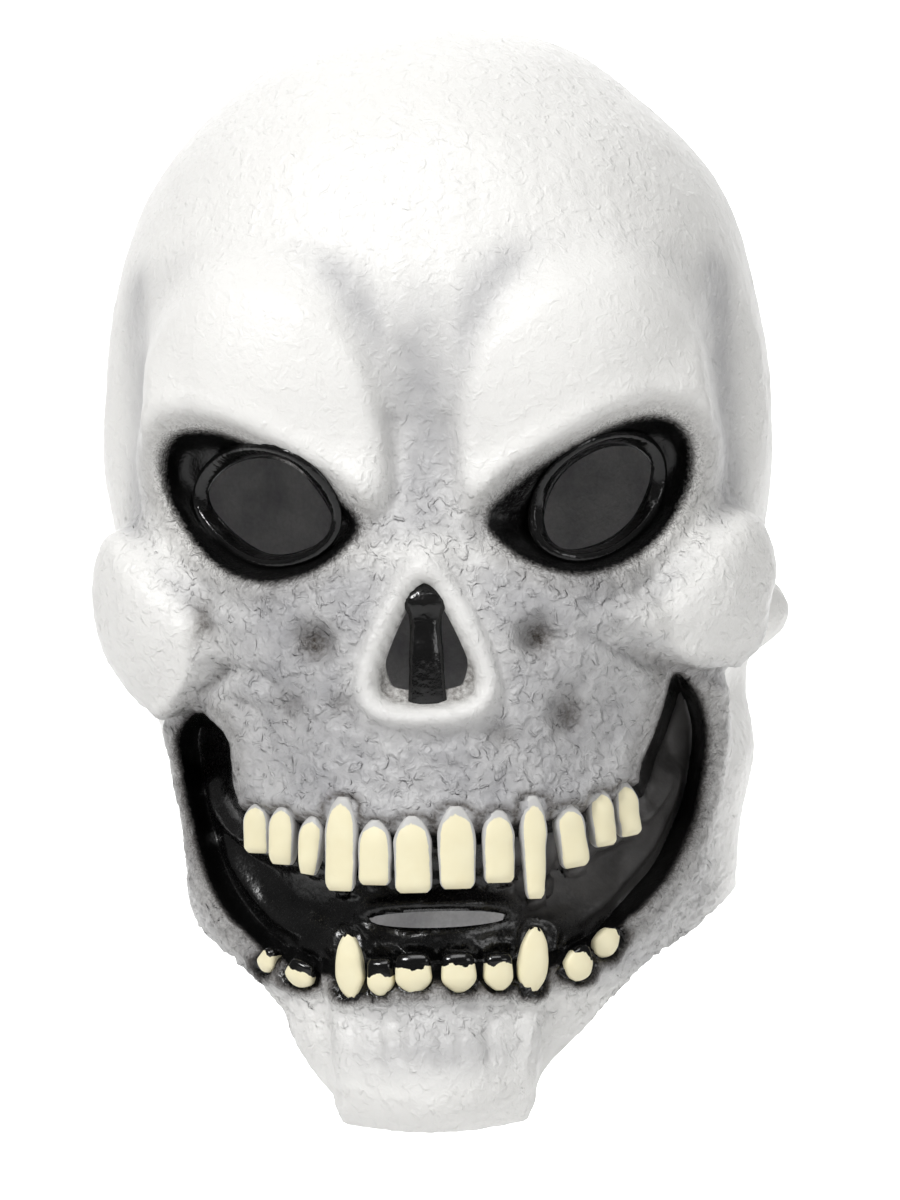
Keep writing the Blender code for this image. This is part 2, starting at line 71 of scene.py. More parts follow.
ringColumns = "frontDown sideDown backDown frontY sideY backY half flat rise square".split()
ringTable = (
    (0.010, 0.009, 0.010, -0.096, 0.035, 0.175, 0.265, 0.00, 2.0, 2.00),
    (0.030, 0.030, 0.030, -0.202, 0.040, 0.280, 0.440, 0.00, 2.0, 2.05),
    (0.066, 0.066, 0.066, -0.289, 0.044, 0.370, 0.605, 0.00, 2.0, 2.10),
    (0.122, 0.122, 0.122, -0.355, 0.044, 0.438, 0.785, 0.00, 2.0, 2.20),
    (0.189, 0.189, 0.189, -0.399, 0.044, 0.487, 0.905, 0.00, 2.0, 2.25),
    (0.264, 0.264, 0.264, -0.425, 0.044, 0.513, 0.965, 0.00, 2.0, 2.30),
    (0.338, 0.338, 0.338, -0.434, 0.040, 0.522, 0.995, 0.00, 2.0, 2.30),
    (0.412, 0.405, 0.410, -0.430, 0.035, 0.518, 1.000, 0.00, 2.0, 2.25),
    (0.490, 0.473, 0.478, -0.443, 0.026, 0.500, 0.970, 0.00, 2.0, 2.15),
    (0.561, 0.540, 0.546, -0.465, 0.018, 0.469, 0.935, 0.00, 2.0, 2.05),
    (0.628, 0.600, 0.609, -0.474, 0.009, 0.434, 0.905, 0.00, 2.0, 1.95),
    (0.689, 0.655, 0.666, -0.465, 0.000, 0.408, 0.880, 0.00, 2.0, 1.90),
    (0.750, 0.695, 0.716, -0.460, -0.009, 0.390, 0.855, 0.00, 1.80, 1.85),
    (0.814, 0.725, 0.760, -0.452, -0.018, 0.382, 0.835, 0.08, 1.40, 1.80),
    (0.868, 0.750, 0.800, -0.462, -0.026, 0.382, 0.820, 0.18, 1.00, 1.75),
    (0.924, 0.777, 0.834, -0.474, -0.035, 0.386, 0.812, 0.27, 0.80, 1.70),
    (0.964, 0.793, 0.860, -0.472, -0.040, 0.390, 0.808, 0.31, 0.70, 1.68),
    (0.992, 0.805, 0.880, -0.452, -0.042, 0.392, 0.805, 0.33, 0.66, 1.66),
)

# Sculpted forms over the head form. side 0 is both sides, -1 and 1 are the photo's left and right. Centre,
# reach and height in millimetres, edge above 1 makes a steeper flank.
formColumns = "side x y z reachX reachY reachZ height edge".split()
formTable = {
    "browPad": (0, 46, -88, -92, 44, 50, 40, 6.0, 1.0),
    "browCorner": (0, 70, -66, -112, 22, 34, 26, 5.0, 1.0),
    "betweenBrows": (0, 0, -99, -116, 15, 40, 34, -4.0, 1.0),
    "temple": (0, 82, -46, -106, 20, 34, 42, -6.0, 1.0),
    "cheekbone": (0, 78, -58, -159, 26, 40, 31, 10.0, 1.7),
    "cheekFront": (0, 44, -92, -166, 30, 30, 22, 3.0, 1.0),
    "cheekHollow": (0, 68, -70, -196, 18, 34, 16, -5.0, 1.0),
    "underCheek": (0, 86, -20, -186, 18, 34, 18, -6.0, 1.0),
    "ear": (0, 92, 6, -164, 18, 22, 15, 11.0, 1.5),
    "muzzle": (0, 18, -105, -212, 42, 40, 24, 4.0, 1.0),
    "pitByNose": (0, 29, -104, -168.5, 8.0, 20, 8.0, -6.5, 1.5),
    "pitOnCheek": (-1, 59, -86, -162, 4.5, 14, 9, -3.4, 1.5),
    "pitByTeeth": (1, 36, -100, -189, 6.5, 20, 9, -4.2, 1.3),
    "pitByTeethLeft": (-1, 36, -100, -185, 7, 20, 7, -1.8, 1.0),
    "pitUnderNose": (1, 19, -105, -194, 7, 20, 4.5, -1.8, 1.0),
    "pitUnderNoseLeft": (-1, 23, -105, -185, 5, 20, 5, -1.6, 1.0),
    "noseBridge": (0, 0, -102, -146, 10, 30, 14, 3.5, 1.0),
    "chin": (0, 0, -106, -282, 36, 44, 26, 5.0, 1.3),
    "underGum": (0, 0, -106, -266, 40, 40, 8, -1.8, 1.0),
    "jawSide": (0, 64, -50, -240, 24, 44, 24, 3.0, 1.0),
}

# Creases and ridges along a line in the front view: side, height and width in millimetres, then its points.
foldTable = (
    (0, -1.4, 2.0, ((70, -141), (65, -148), (60, -153), (55, -156.5), (49, -159), (41, -160.5))),
    (0, 1.6, 3.0, ((71, -146), (64, -154), (57, -160), (50, -163))),
    (0, -2.4, 3.2, ((30, -259), (30.5, -268), (30, -276), (28, -286))),
    (0, 1.2, 3.0, ((25, -262), (25.5, -272), (24.5, -284))),
    (0, -1.6, 2.6, ((6.5, -112), (7.5, -122), (8, -132), (13, -138.5))),
    (0, -1.0, 2.0, (
        (16, -142), (12, -148), (11, -158), (16, -168), (21, -180), (20, -190), (11, -194), (0, -195),
    )),
    (1, -1.4, 2.2, ((41, -168), (46, -171), (52, -173.5), (59, -176))),
    (1, 2.2, 2.6, (
        (74.5, -183), (75.5, -192), (74.5, -202), (72, -212), (67, -222), (60, -233), (52, -241),
    )),
    (1, -3.4, 4.5, ((83, -181), (83.5, -188), (82, -198), (79, -208))),
    (-1, 1.6, 2.4, ((69.5, -191), (70, -202), (68, -216), (63, -229), (55, -242))),
    (-1, -2.0, 1.8, ((60, -178.5), (56, -176), (51, -175), (46, -176), (41, -179.5))),
    (-1, 1.3, 2.4, ((58, -182), (53, -179.5), (48, -179.5), (44, -182))),
    (-1, -1.2, 1.4, ((55, -186), (51, -183), (47, -185), (45, -188))),
    (-1, -1.3, 1.6, ((15.0, -268), (15.5, -278))),
    (-1, -1.3, 1.6, ((9.5, -268), (9.0, -277))),
    (1, -1.2, 1.4, ((1.5, -271), (2.0, -279))),
    (1, -1.2, 1.4, ((6.0, -270), (6.5, -278))),
    (1, -1.3, 1.6, ((14.0, -268), (14.5, -277))),
    (1, -1.0, 2.0, ((-3, -199), (2, -203), (9, -202))),
    (-1, -1.0, 2.0, ((8, -197), (14, -200), (20, -198))),
)

# Outlines in the front view, millimetres from the middle and from the outside of the crown. The pad, the socket
# and the window are drawn on the right and repeated on the left, the nose is mirrored.
padOutline = (
    (67, -71), (61, -65), (52, -61.5), (41, -62.5), (30, -67), (21, -77), (14, -90), (10, -102),
    (7.5, -115), (7, -128), (10, -136), (16, -136), (25, -127), (36, -118.5), (48, -111.5), (58, -108.5),
    (67, -110), (73, -118), (75, -108), (74.5, -95), (72.5, -81),
)
rightLobeOutline = (
    (47, -163), (52, -170), (59, -174), (67, -176.5), (78, -177.5), (83, -174), (88, -168), (93, -159),
    (98, -150), (98, -140), (88, -133), (78, -134), (72, -141), (66, -149), (58, -157),
)
leftLobeOutline = (
    (-97, -152), (-94, -166), (-89, -174), (-83, -180), (-76, -184.5), (-70, -186.5), (-66, -185),
    (-62, -182), (-58, -177), (-56, -170), (-57, -163), (-62, -156), (-68, -149), (-74, -141), (-80, -135),
    (-90, -133), (-98, -141),
)
socketOutline = (
    (14.0, -138.0), (23.0, -129.0), (34.0, -121.0), (47.0, -114.0), (58.0, -111.0), (66.0, -112.0),
    (70.0, -118.0), (70.0, -128.0), (66.0, -137.0), (60.0, -145.0), (52.0, -151.0), (41.0, -154.0),
    (31.0, -152.0), (22.0, -147.0),
)
leftEyeOutline = (
    (-23.0, -141.0), (-24.0, -134.5), (-28.0, -128.0), (-32.5, -122.7), (-38.0, -120.0), (-45.5, -119.2),
    (-52.0, -120.8), (-57.0, -124.5), (-60.0, -129.0), (-57.5, -133.5), (-53.0, -138.5), (-47.0, -143.2),
    (-41.0, -146.0), (-33.0, -145.2),
)
rightEyeOutline = (
    (29.5, -143.5), (30.7, -135.0), (33.0, -129.0), (37.5, -123.8), (44.0, -120.0), (49.0, -118.5),
    (55.0, -118.7), (58.8, -121.5), (59.8, -125.5), (57.8, -132.0), (54.0, -138.8), (49.0, -143.0),
    (43.5, -145.6), (36.5, -146.8),
)
noseOutline = (
    (0.0, -152.0), (3.8, -156.5), (7.3, -162.5), (10.5, -169.5), (13.0, -176.5), (13.5, -181.5),
    (10.5, -185.0), (0.0, -186.5),
)
mouthOutline = (
    (0.0, -218.5), (9.0, -219.0), (20.0, -217.0), (31.0, -216.0), (40.0, -213.5), (47.0, -211.5),
    (50.5, -209.5), (52.5, -206.5), (54.4, -200.2), (57.2, -195.0), (59.4, -189.0), (60.6, -184.7),
    (61.5, -181.0), (63.8, -178.8), (66.5, -179.6), (68.8, -182.8), (70.7, -187.5), (72.0, -195.0),
    (70.5, -207.0), (67.8, -217.5), (60.7, -232.0), (53.4, -239.5), (48.0, -245.0), (42.5, -250.0),
    (36.0, -253.5), (26.0, -256.0), (12.0, -257.0), (0.0, -257.0), (-12.0, -257.0), (-26.0, -256.5),
    (-36.0, -254.0), (-44.5, -250.5), (-51.2, -245.5), (-60.2, -233.5), (-65.4, -220.2), (-67.8, -209.0),
    (-69.3, -197.0), (-69.0, -191.5), (-67.6, -188.2), (-64.6, -186.7), (-60.5, -186.7), (-57.4, -188.6),
    (-54.0, -191.8), (-52.6, -195.4), (-52.4, -205.0), (-49.8, -212.0), (-46.0, -213.2), (-40.0, -213.5),
    (-31.0, -216.0), (-20.0, -217.0), (-9.0, -219.0),
)
mouthWindow = (
    (0.0, -225.5), (20.0, -224.5), (36.0, -222.0), (46.0, -218.5), (52.5, -215.0), (57.0, -215.0),
    (57.0, -218.5), (53.0, -226.5), (47.0, -235.0), (39.0, -242.5), (30.0, -248.0), (14.0, -250.5),
    (0.0, -250.5),
)

# Teeth: middle x, top and bottom in the front view, width, lean to the photo's right in degrees, width at the
# tip as a share, and as shares of the length the black or bare end and where the tip starts to round off.
toothColumns = "x top bottom width lean tip bare blunt".split()
upperTeeth = (
    (-45.3, -210.5, -223.4, 7.0, 2, 0.95, 0.10, 0.88),
    (-38.3, -211.0, -226.2, 7.0, 4, 0.95, 0.10, 0.82),
    (-30.7, -213.5, -228.7, 7.0, 9, 0.72, 0.14, 0.74),
    (-22.6, -208.6, -232.9, 8.4, 3, 0.92, 0.10, 0.90),
    (-14.0, -214.6, -231.5, 8.2, 2, 1.04, 0.14, 0.90),
    (-4.4, -213.8, -233.7, 9.4, 0, 1.04, 0.14, 0.90),
    (6.7, -211.6, -232.9, 9.4, 0, 1.02, 0.14, 0.90),
    (17.1, -212.8, -231.7, 8.0, 0, 1.00, 0.14, 0.90),
    (25.9, -209.6, -236.2, 7.4, 0, 0.62, 0.13, 0.93),
    (35.2, -211.8, -228.7, 7.4, -8, 0.98, 0.18, 0.90),
    (43.0, -208.8, -223.7, 6.4, -7, 0.94, 0.12, 0.90),
    (49.3, -207.2, -221.5, 6.0, -8, 0.98, 0.12, 0.90),
)
lowerTeeth = (
    (-43.4, -248.0, -254.9, 5.6, 28, 0.55, 0.25, 0.80),
    (-34.6, -251.0, -258.3, 8.0, 22, 0.80, 0.42, 0.80),
    (-21.6, -244.4, -260.9, 7.4, -2, 0.86, 0.0, 0.52),
    (-13.6, -250.5, -260.3, 7.0, 0, 0.95, 0.45, 0.80),
    (-5.2, -249.5, -259.6, 9.2, 0, 0.98, 0.38, 0.80),
    (6.2, -249.5, -259.8, 8.8, 0, 0.98, 0.30, 0.80),
    (16.2, -250.0, -259.7, 7.6, 0, 0.94, 0.28, 0.80),
    (24.9, -243.8, -261.0, 7.6, 7, 0.90, 0.0, 0.52),
    (36.3, -249.0, -258.6, 7.0, 26, 0.86, 0.24, 0.55),
    (43.4, -244.6, -253.4, 5.8, 40, 0.86, 0.10, 0.55),
)
# The lower half of the mask hangs a little to the photo's right, and its hem lower there.
sag = {
    "aside": 3.6 * mm,
    "below": 0.5 * mm,
    "leftBelow": -3.0 * mm,
    "chinTaper": 0.13,
    "chinFlank": 3.2 * mm,
}


def ease(value):
    t = np.clip(value, 0.0, 1.0)
    return t * t * (3 - 2 * t)


def rising(value, start, run):
    # 0 up to start, 1 from start + run on, both in millimetres
    return ease((value - start * mm) / (run * mm))


def falling(value, start, run):
    # the same, the other way: 1 below start - run
    return ease((start * mm - value) / (run * mm))


def band(value, middle, wide):
    # 1 at middle, fading over wide, both in millimetres
    return np.exp(-(((value - middle * mm) / (wide * mm)) ** 2))


def unit(vectors):
    return vectors / np.maximum(np.linalg.norm(vectors, axis=-1, keepdims=True), 1e-12)


mixTable = np.random.default_rng(11).permutation(512)
slopeTable = unit(np.random.default_rng(12).normal(size=(512, 3)))


def softNoise(points, size, shift=0.0):
    # smooth random hills, about -1 to 1 high, of a given size
    at = points / size + shift
    cell = np.floor(at).astype(int)
    part = at - cell
    smooth = part**3 * (part * (part * 6 - 15) + 10)
    total = np.zeros(at.shape[:-1])
    for dx in (0, 1):
        for dy in (0, 1):
            for dz in (0, 1):
                i = mixTable[(cell[..., 0] + dx) & 511]
                i = mixTable[(i + cell[..., 1] + dy) & 511]
                i = mixTable[(i + cell[..., 2] + dz) & 511]
                away = part - np.array([dx, dy, dz])
                weight = (
                    (smooth[..., 0] if dx else 1 - smooth[..., 0])
                    * (smooth[..., 1] if dy else 1 - smooth[..., 1])
                    * (smooth[..., 2] if dz else 1 - smooth[..., 2])
                )
                total += weight * np.sum(slopeTable[i] * away, axis=-1)
    return total * 1.6


def ringPoints(row, sweep):
    ring = dict(zip(ringColumns, row))
    half = ring["half"] * headForm["width"] / 2
    sideY = ring["sideY"] * headForm["depth"]
    frontReach = sideY - ring["frontY"] * headForm["depth"]
    backReach = ring["backY"] * headForm["depth"] - sideY
    atFront = sweep <= math.pi / 2
    sine = np.clip(np.sin(sweep), 0.0, 1.0)
    cosine = np.abs(np.cos(sweep))
    power = np.where(atFront, 2.0 / ring["square"], 1.0)
    x = half * sine**power
    y = sideY + np.where(atFront, -frontReach, backReach) * cosine**power
    share = np.clip((x / half - ring["flat"]) / (1 - ring["flat"]), 0.0, 1.0)
    downFront = ring["frontDown"] + (ring["sideDown"] - ring["frontDown"]) * share ** ring["rise"]
    downBack = ring["sideDown"] + (ring["backDown"] - ring["sideDown"]) * cosine**2
    z = crownZ - headForm["height"] * np.where(atFront, downFront, downBack)
    return np.stack([x, y, z], axis=1)


def ringLine(row):
    # the same ring, with its points evenly spread over the front and more widely over the back
    fine = np.linspace(0.0, math.pi, 2400)
    line = ringPoints(row, fine)
    length = np.linalg.norm(np.diff(line, axis=0), axis=1)
    front, back = headForm["frontColumns"], headForm["backColumns"]
    atFront = fine[1:] <= math.pi / 2
    weight = np.where(atFront, front / length[atFront].sum(), back / length[~atFront].sum())
    travelled = np.concatenate([[0.0], np.cumsum(length * weight)])
    spot = np.interp(np.linspace(0.0, front + back, front + back + 1), travelled, fine)
    return ringPoints(row, spot)


def headGrid():
    rings = [ringLine(row) for row in ringTable]
    crown = np.array([0.0, ringTable[0][4] * headForm["depth"], crownZ])
    first = np.repeat(crown[None, :], len(rings[0]), axis=0)
    before = 2 * first - rings[0]
    before[:, 2] = rings[0][:, 2]
    after = 2 * rings[-1] - rings[-2]
    knots = [before, first, *rings, after]
    faceStart = 7.0  # the ring below which the face's finer rows start
    crownPart = np.linspace(0.0, faceStart, headForm["crownRows"] + 1)[:-1]
    facePart = np.linspace(faceStart, len(rings), headForm["faceRows"] + 1)
    out = []
    for row in np.concatenate([crownPart, facePart]):
        k = min(int(row), len(rings) - 1)
        t = row - k
        a, b, c, d = knots[k : k + 4]
        square, cube = 2 * a - 5 * b + 4 * c - d, 3 * b - a - 3 * c + d
        out.append(0.5 * (2 * b + (c - a) * t + square * t * t + cube * t**3))
    half = np.array(out)
    half[:, 0, 0] = 0.0
    half[:, -1, 0] = 0.0
    return np.concatenate([half, half[:, -2:0:-1] * np.array([-1.0, 1.0, 1.0])], axis=1)


def gridNormals(points):
    wrapped = np.concatenate([points[:, -1:], points, points[:, :1]], axis=1)
    around = wrapped[:, 2:] - wrapped[:, :-2]
    down = np.gradient(points, axis=0)
    normal = unit(np.cross(down, around))
    normal[0] = (0.0, 0.0, 1.0)
    return normal


def segmentDistance(flat, p, q):
    along = q - p
    t = np.clip(((flat - p) @ along) / (along @ along), 0.0, 1.0)
    return np.linalg.norm(flat - p - t[:, None] * along, axis=1)


def outlineDistance(view, outline):
    # distance of front-view points into an outline: above 0 inside it, below 0 outside it
    corners = np.array(outline, dtype=float) * mm
    corners[:, 1] += crownZ
    flat = view.reshape(-1, 2)
    nearest = np.full(len(flat), 1e9)
    inside = np.zeros(len(flat), dtype=bool)
    for p, q in zip(corners, np.roll(corners, -1, axis=0)):
        along = q - p
        nearest = np.minimum(nearest, segmentDistance(flat, p, q))
        if abs(along[1]) > 1e-12:
            crosses = (p[1] > flat[:, 1]) != (q[1] > flat[:, 1])
            inside ^= crosses & (flat[:, 0] < p[0] + (flat[:, 1] - p[1]) * along[0] / along[1])
    return np.where(inside, nearest, -nearest).reshape(view.shape[:-1])


def bothSides(view, outline):
    folded = np.stack([np.abs(view[..., 0]), view[..., 1]], axis=-1)
    return outlineDistance(folded, outline)


def lineDistance(view, line):
    corners = np.array(line, dtype=float) * mm
    corners[:, 1] += crownZ
    flat = view.reshape(-1, 2)
    nearest = np.full(len(flat), 1e9)
    for p, q in zip(corners[:-1], corners[1:]):
        nearest = np.minimum(nearest, segmentDistance(flat, p, q))
    return nearest.reshape(view.shape[:-1])


def smoothOutline(outline, mirrored, rounds=2):
    # rounds off the corners of an outline by corner cutting
    line = np.array(outline, dtype=float)
    if mirrored:
        off = line[:, 0] > 1e-3
        line = np.concatenate([line, (line[off] * [-1.0, 1.0])[::-1]])
    for _ in range(rounds):
        after = np.roll(line, -1, axis=0)
        line = np.stack([line * 0.75 + after * 0.25, line * 0.25 + after * 0.75], axis=1).reshape(-1, 2)
    return line


print("head form")
plain = headGrid()
gridRow = np.linspace(0.0, 1.0, plain.shape[0])[:, None]
lowZ = plain[..., 2] - crownZ
sideward = rising(plain[..., 1], -62, 45) * (1 - rising(plain[..., 1], 20, 60))
plain[..., 0] += sag["aside"] * sideward * falling(lowZ, -178, 28) * np.where(plain[..., 0] > 0, 1.3, 1.25)
fromMiddle = np.abs(plain[..., 0])
hemPart = rising(fromMiddle, 28, 14) * falling(fromMiddle, 84, 18)
hemPart = hemPart * ease((gridRow - 0.72) / 0.28) * (1 - rising(plain[..., 1], 0, 60))
plain[..., 2] -= np.where(plain[..., 0] > 0, sag["below"], sag["leftBelow"]) * hemPart
atFront = falling(plain[..., 1], -30, 20)
lowest = np.clip((-279 * mm - plain[..., 2]) / (16 * mm), 0, 1)
plain[..., 0] *= 1 - sag["chinTaper"] * lowest**2 * atFront
# the chin block's own flank stands further out on the photo's left
chinFlank = falling(plain[..., 0], -12, 14) * (1 - falling(plain[..., 0], -34, 12))
plain[..., 0] -= sag["chinFlank"] * chinFlank * falling(plain[..., 2], -256, 16) * atFront
facing = falling(plain[..., 1], -22, 30)  # 1 on the face, 0 behind the cheeks
noseLine = smoothOutline(noseOutline, True)
mouthLine = smoothOutline(mouthOutline, False)
socketLine = smoothOutline(socketOutline, False)


def toothFrame(values, stands):
    spec = dict(zip(toothColumns, values))
    spec["length"] = (spec["top"] - spec["bottom"]) * mm
    spec["midZ"] = (spec["top"] + spec["bottom"]) / 2 * mm + crownZ
    spec["stands"] = stands
    return spec


def intoTooth(spec, view, grow=0.0):
    # front-view distance into a tooth's rounded block
    lean = math.radians(spec["lean"])
    dx = view[..., 0] - spec["x"] * mm
    dz = view[..., 1] - spec["midZ"]
    along = dx * math.sin(lean) + dz * math.cos(lean)
    across = dx * math.cos(lean) - dz * math.sin(lean)
    share = np.clip(0.5 + spec["stands"] * along / spec["length"], 0.0, 1.0)
    half = spec["width"] / 2 * mm * (1 + (spec["tip"] - 1) * share) + grow
    reach = spec["length"] / 2 + grow
    corner = half * 0.75
    qx = np.abs(across) - half + corner
    qz = np.abs(along) - reach + corner
    outside = np.hypot(np.maximum(qx, 0), np.maximum(qz, 0)) + np.minimum(np.maximum(qx, qz), 0)
    return corner - outside


teeth = {f"upperTooth{i:02d}": toothFrame(v, -1) for i, v in enumerate(upperTeeth, 1)}
teeth.update({f"lowerTooth{i:02d}": toothFrame(v, 1) for i, v in enumerate(lowerTeeth, 1)})


def sculptedForms(points):
    height = np.zeros(points.shape[:-1])
    x, y, z = points[..., 0], points[..., 1], points[..., 2]
    for values in formTable.values():
        form = dict(zip(formColumns, values))
        px = np.abs(x) if form["side"] == 0 else x * form["side"]
        near = ((px - form["x"] * mm) / (form["reachX"] * mm)) ** 2
        near = near + ((y - form["y"] * mm) / (form["reachY"] * mm)) ** 2
        near = near + ((z - crownZ - form["z"] * mm) / (form["reachZ"] * mm)) ** 2
        swell = np.clip(1 - near, 0.0, 1.0) ** 2
        height += form["height"] * mm * (1 - (1 - swell) ** form["edge"])
    return height


print("sculpting")
formed = plain + gridNormals(plain) * sculptedForms(plain)[..., None]
formed[0] = formed[0].mean(axis=0)
view = formed[..., [0, 2]]
formedNormals = gridNormals(formed)
intoSocket = bothSides(view, socketLine)
intoNose = outlineDistance(view, noseLine)
intoMouth = outlineDistance(view, mouthLine)
intoPad = bothSides(view, padOutline)
intoLobe = np.maximum(outlineDistance(view, rightLobeOutline), outlineDistance(view, leftLobeOutline))
rootDistance = np.full(view.shape[:-1], -1.0)
for spec in teeth.values():
    rootDistance = np.maximum(rootDistance, intoTooth(spec, view))


def sculptedFolds():
    # shallow forms, raised along the normal
    height = np.zeros(view.shape[:-1])
    x, z = view[..., 0], view[..., 1] - crownZ
    for side, tall, wide, line in foldTable:
        px = np.abs(x) if side == 0 else x * side
        height += tall * mm * band(lineDistance(np.stack([px, view[..., 1]], axis=-1), line), 0, wide)
    # brow pads: a soft start on the forehead, a firm one beside the nose and at the temple
    height += 4.6 * mm * rising(intoPad, -1, 22 - 15 * falling(z, -68, 30))
    # cheekbone lobes, soft above and undercut below
    height += 5.4 * mm * rising(intoLobe, -0.5, 9 - 5.2 * falling(z, -158, 14))
    height -= 1.6 * mm * band(intoLobe, -2.6, 2.2) * falling(z, -166, 8)
    # brow ridge over the eyes and a low ridge under them
    height += 2.2 * mm * band(intoSocket, -4.5, 4) * (0.4 + 0.6 * rising(z, -138, 22))
    # smooth raised frame of the nose opening
    rim = np.clip(-intoNose / (5.8 * mm), 0, 1)
    height += 3.0 * mm * np.where(intoNose < 0, np.sin(rim * math.pi) ** 0.8, 0.0)
    # the jaw's edge round the mouth
    height += 1.8 * mm * band(intoMouth, -4, 3.6)
    # lifted gum round each root, with a groove against the tooth
    height += 0.9 * mm * band(rootDistance, -1.6, 1.1) - 0.8 * mm * band(rootDistance, -0.1, 0.8)
    return height * facing


def sculptedRecesses():
    # deep forms, sunk straight back so that their outlines stay where they are from the front
    upper = rising(view[..., 1] - crownZ, -138, 22)
    bowl = rising(intoSocket, -0.5, 9)
    steep = np.sin(np.clip((intoSocket + 0.5 * mm) / (7 * mm), 0, 1) * math.pi / 2)
    depth = 9.5 * mm * (bowl * (1 - upper) + steep * upper)
    depth += 4.5 * mm * rising(intoNose, -0.6, 2.6) + 9.2 * mm * rising(intoMouth, -0.2, 4.6)
    return depth * facing / np.maximum(-formedNormals[..., 1], 0.5)


def crinkle(points, size):
    # short curled worm-like folds: ridged noise in a warped space
    warp = np.stack([softNoise(points, size * 1.7, shift) for shift in (5.3, 21.7, 37.1)], axis=-1)
    return 1 - 2.2 * np.abs(softNoise(points + warp * size * 0.9, size, 3.1))


skin = formed + formedNormals * sculptedFolds()[..., None]
skin[..., 1] += sculptedRecesses()
skin[0] = skin[0].mean(axis=0)
x, y, z = view[..., 0], formed[..., 1], view[..., 1] - crownZ
fromMiddle = np.abs(x)
noseFrame = band(np.maximum(-intoNose, 0), 0, 6) * facing
padArea = rising(intoPad, 0, 10) * facing
lobeArea = rising(intoLobe, 0, 6) * facing
roughness = 0.34 + 0.66 * facing * falling(z, -112, 28)
roughness = roughness * (1 - 0.75 * noseFrame) * (1 - 0.55 * lobeArea) * (1 - 0.35 * padArea)
roughness = roughness * (1 - rising(intoMouth, -1, 2) * facing) * (1 - rising(intoSocket, -1, 2) * facing)
roughness = roughness * (1 - 0.6 * falling(z, -262, 14))
lift = softNoise(plain, 34 * mm) * 0.7 * mm + softNoise(plain, 13 * mm, 9.0) * 0.28 * mm
lift = lift + roughness * (0.55 * crinkle(skin, 5.2 * mm) + 0.42 * crinkle(skin, 3.0 * mm)) * mm
skin = skin + gridNormals(skin) * lift[..., None]
skin[0] = skin[0].mean(axis=0)
normals = gridNormals(skin)
rowCount, columnCount = skin.shape[:2]

# Paint: grey airbrush in the hollows, with painted shade under the cheekbone lobes and more of it on the right
# temple; brown at the edges of the black and darker brown in the pits; painted shade round the tooth roots,
# under the cheekbones and in the hollow under the right one; and the distances into the black openings.
temple = band(fromMiddle, 81, 7) * falling(z, -60, 14) * rising(z, -152, 16) * falling(y, 4, 50)
middle = falling(z, -140, 18) * rising(z, -266, 14)
greyAreas = (
    0.6 * band(intoPad, -3, 7) * falling(z, -58, 14) * (0.3 + 0.7 * falling(fromMiddle, 46, 26)),
    0.8 * band(fromMiddle, 0, 13) * falling(z, -66, 30) * rising(z, -150, 14),
    # the temples' grey, darker on the right one as painted shade
    temple * (0.78 + 0.2 * (x > 0)),
    middle * (0.86 - 0.3 * rising(fromMiddle, 34, 30)),
    # painted shade under the lower edge of the cheekbone lobes
    0.85 * band(intoLobe, -3, 5) * falling(z, -168, 8),
    0.6 * band(fromMiddle, 0, 26) * falling(z, -256, 6) * rising(z, -286, 12),
)
grey = np.max(greyAreas, axis=0) * facing * (1 - 0.85 * noseFrame) * (1 - 0.9 * lobeArea) * (1 - 0.8 * padArea)
outerJaw = np.clip(rising(fromMiddle, 40, 12) + falling(z, -246, 6), 0, 1)
dirtAndShadeAreas = [
    0.5 * band(intoMouth, -2.6, 3.0) * outerJaw,
    # painted shade: a dark ring in the groove round each tooth root
    0.95 * band(rootDistance, -0.5, 0.9),
    0.35 * band(intoSocket, -2.6, 2.4),
    # painted shade along the undercut at the bottom of the cheekbone lobes
    0.55 * band(intoLobe, -1.0, 1.3) * falling(z, -171, 5),
    # painted shade in the hollow under the right cheekbone
    0.7 * band(x, 81, 5) * band(z, -183, 7),
    0.75 * rising(intoNose, -0.2, 1.4),
]
# darker brown in the pits
pitDarkening = {
    "pitByNose": 1.0, "pitOnCheek": 0.9, "pitByTeeth": 0.85, "pitByTeethLeft": 0.45, "pitUnderNose": 0.5,
    "pitUnderNoseLeft": 0.45,
}
for name, strength in pitDarkening.items():
    form = dict(zip(formColumns, formTable[name]))
    px = fromMiddle if form["side"] == 0 else x * form["side"]
    dirtAndShadeAreas.append(
        strength * band(px, form["x"], form["reachX"] * 0.62) * band(z, form["z"], form["reachZ"] * 0.62)
    )
dirt = np.max(dirtAndShadeAreas, axis=0) * facing
paint = np.stack([grey, np.clip(roughness, 0, 1), dirt, np.ones_like(grey)], axis=-1)
edgeSpan = 20 * mm  # distances of -10 mm to 10 mm are stored as 0 to 1


def asEdge(distance):
    return np.clip(np.where(facing > 0.01, distance, -1.0) / edgeSpan + 0.5, 0, 1)


noseBlack = asEdge(np.minimum(intoNose, 3 * mm * rising(z, -176, 16) - 1 * mm))
lowerRoots = np.full(view.shape[:-1], -1.0)
for spec in teeth.values():
    if spec["stands"] > 0:
        lowerRoots = np.maximum(lowerRoots, intoTooth(spec, view))
# the black also follows the lower teeth in scallops
mouthBlack = asEdge(np.maximum(intoMouth, np.minimum(lowerRoots + 1.5 * mm, 3 * mm)))
edges = np.stack([asEdge(intoSocket), mouthBlack, noseBlack, np.ones_like(grey)], axis=-1)


def linear(text):
    # an sRGB hex colour as linear values
    values = [int(text[i : i + 2], 16) / 255 for i in (1, 3, 5)]
    return (*[v / 12.92 if v <= 0.04045 else ((v + 0.055) / 1.055) ** 2.4 for v in values], 1.0)


def newMaterial(name):
    made = bpy.data.materials.new(name)
    made.use_nodes = True
    made.node_tree.nodes.clear()
    return made


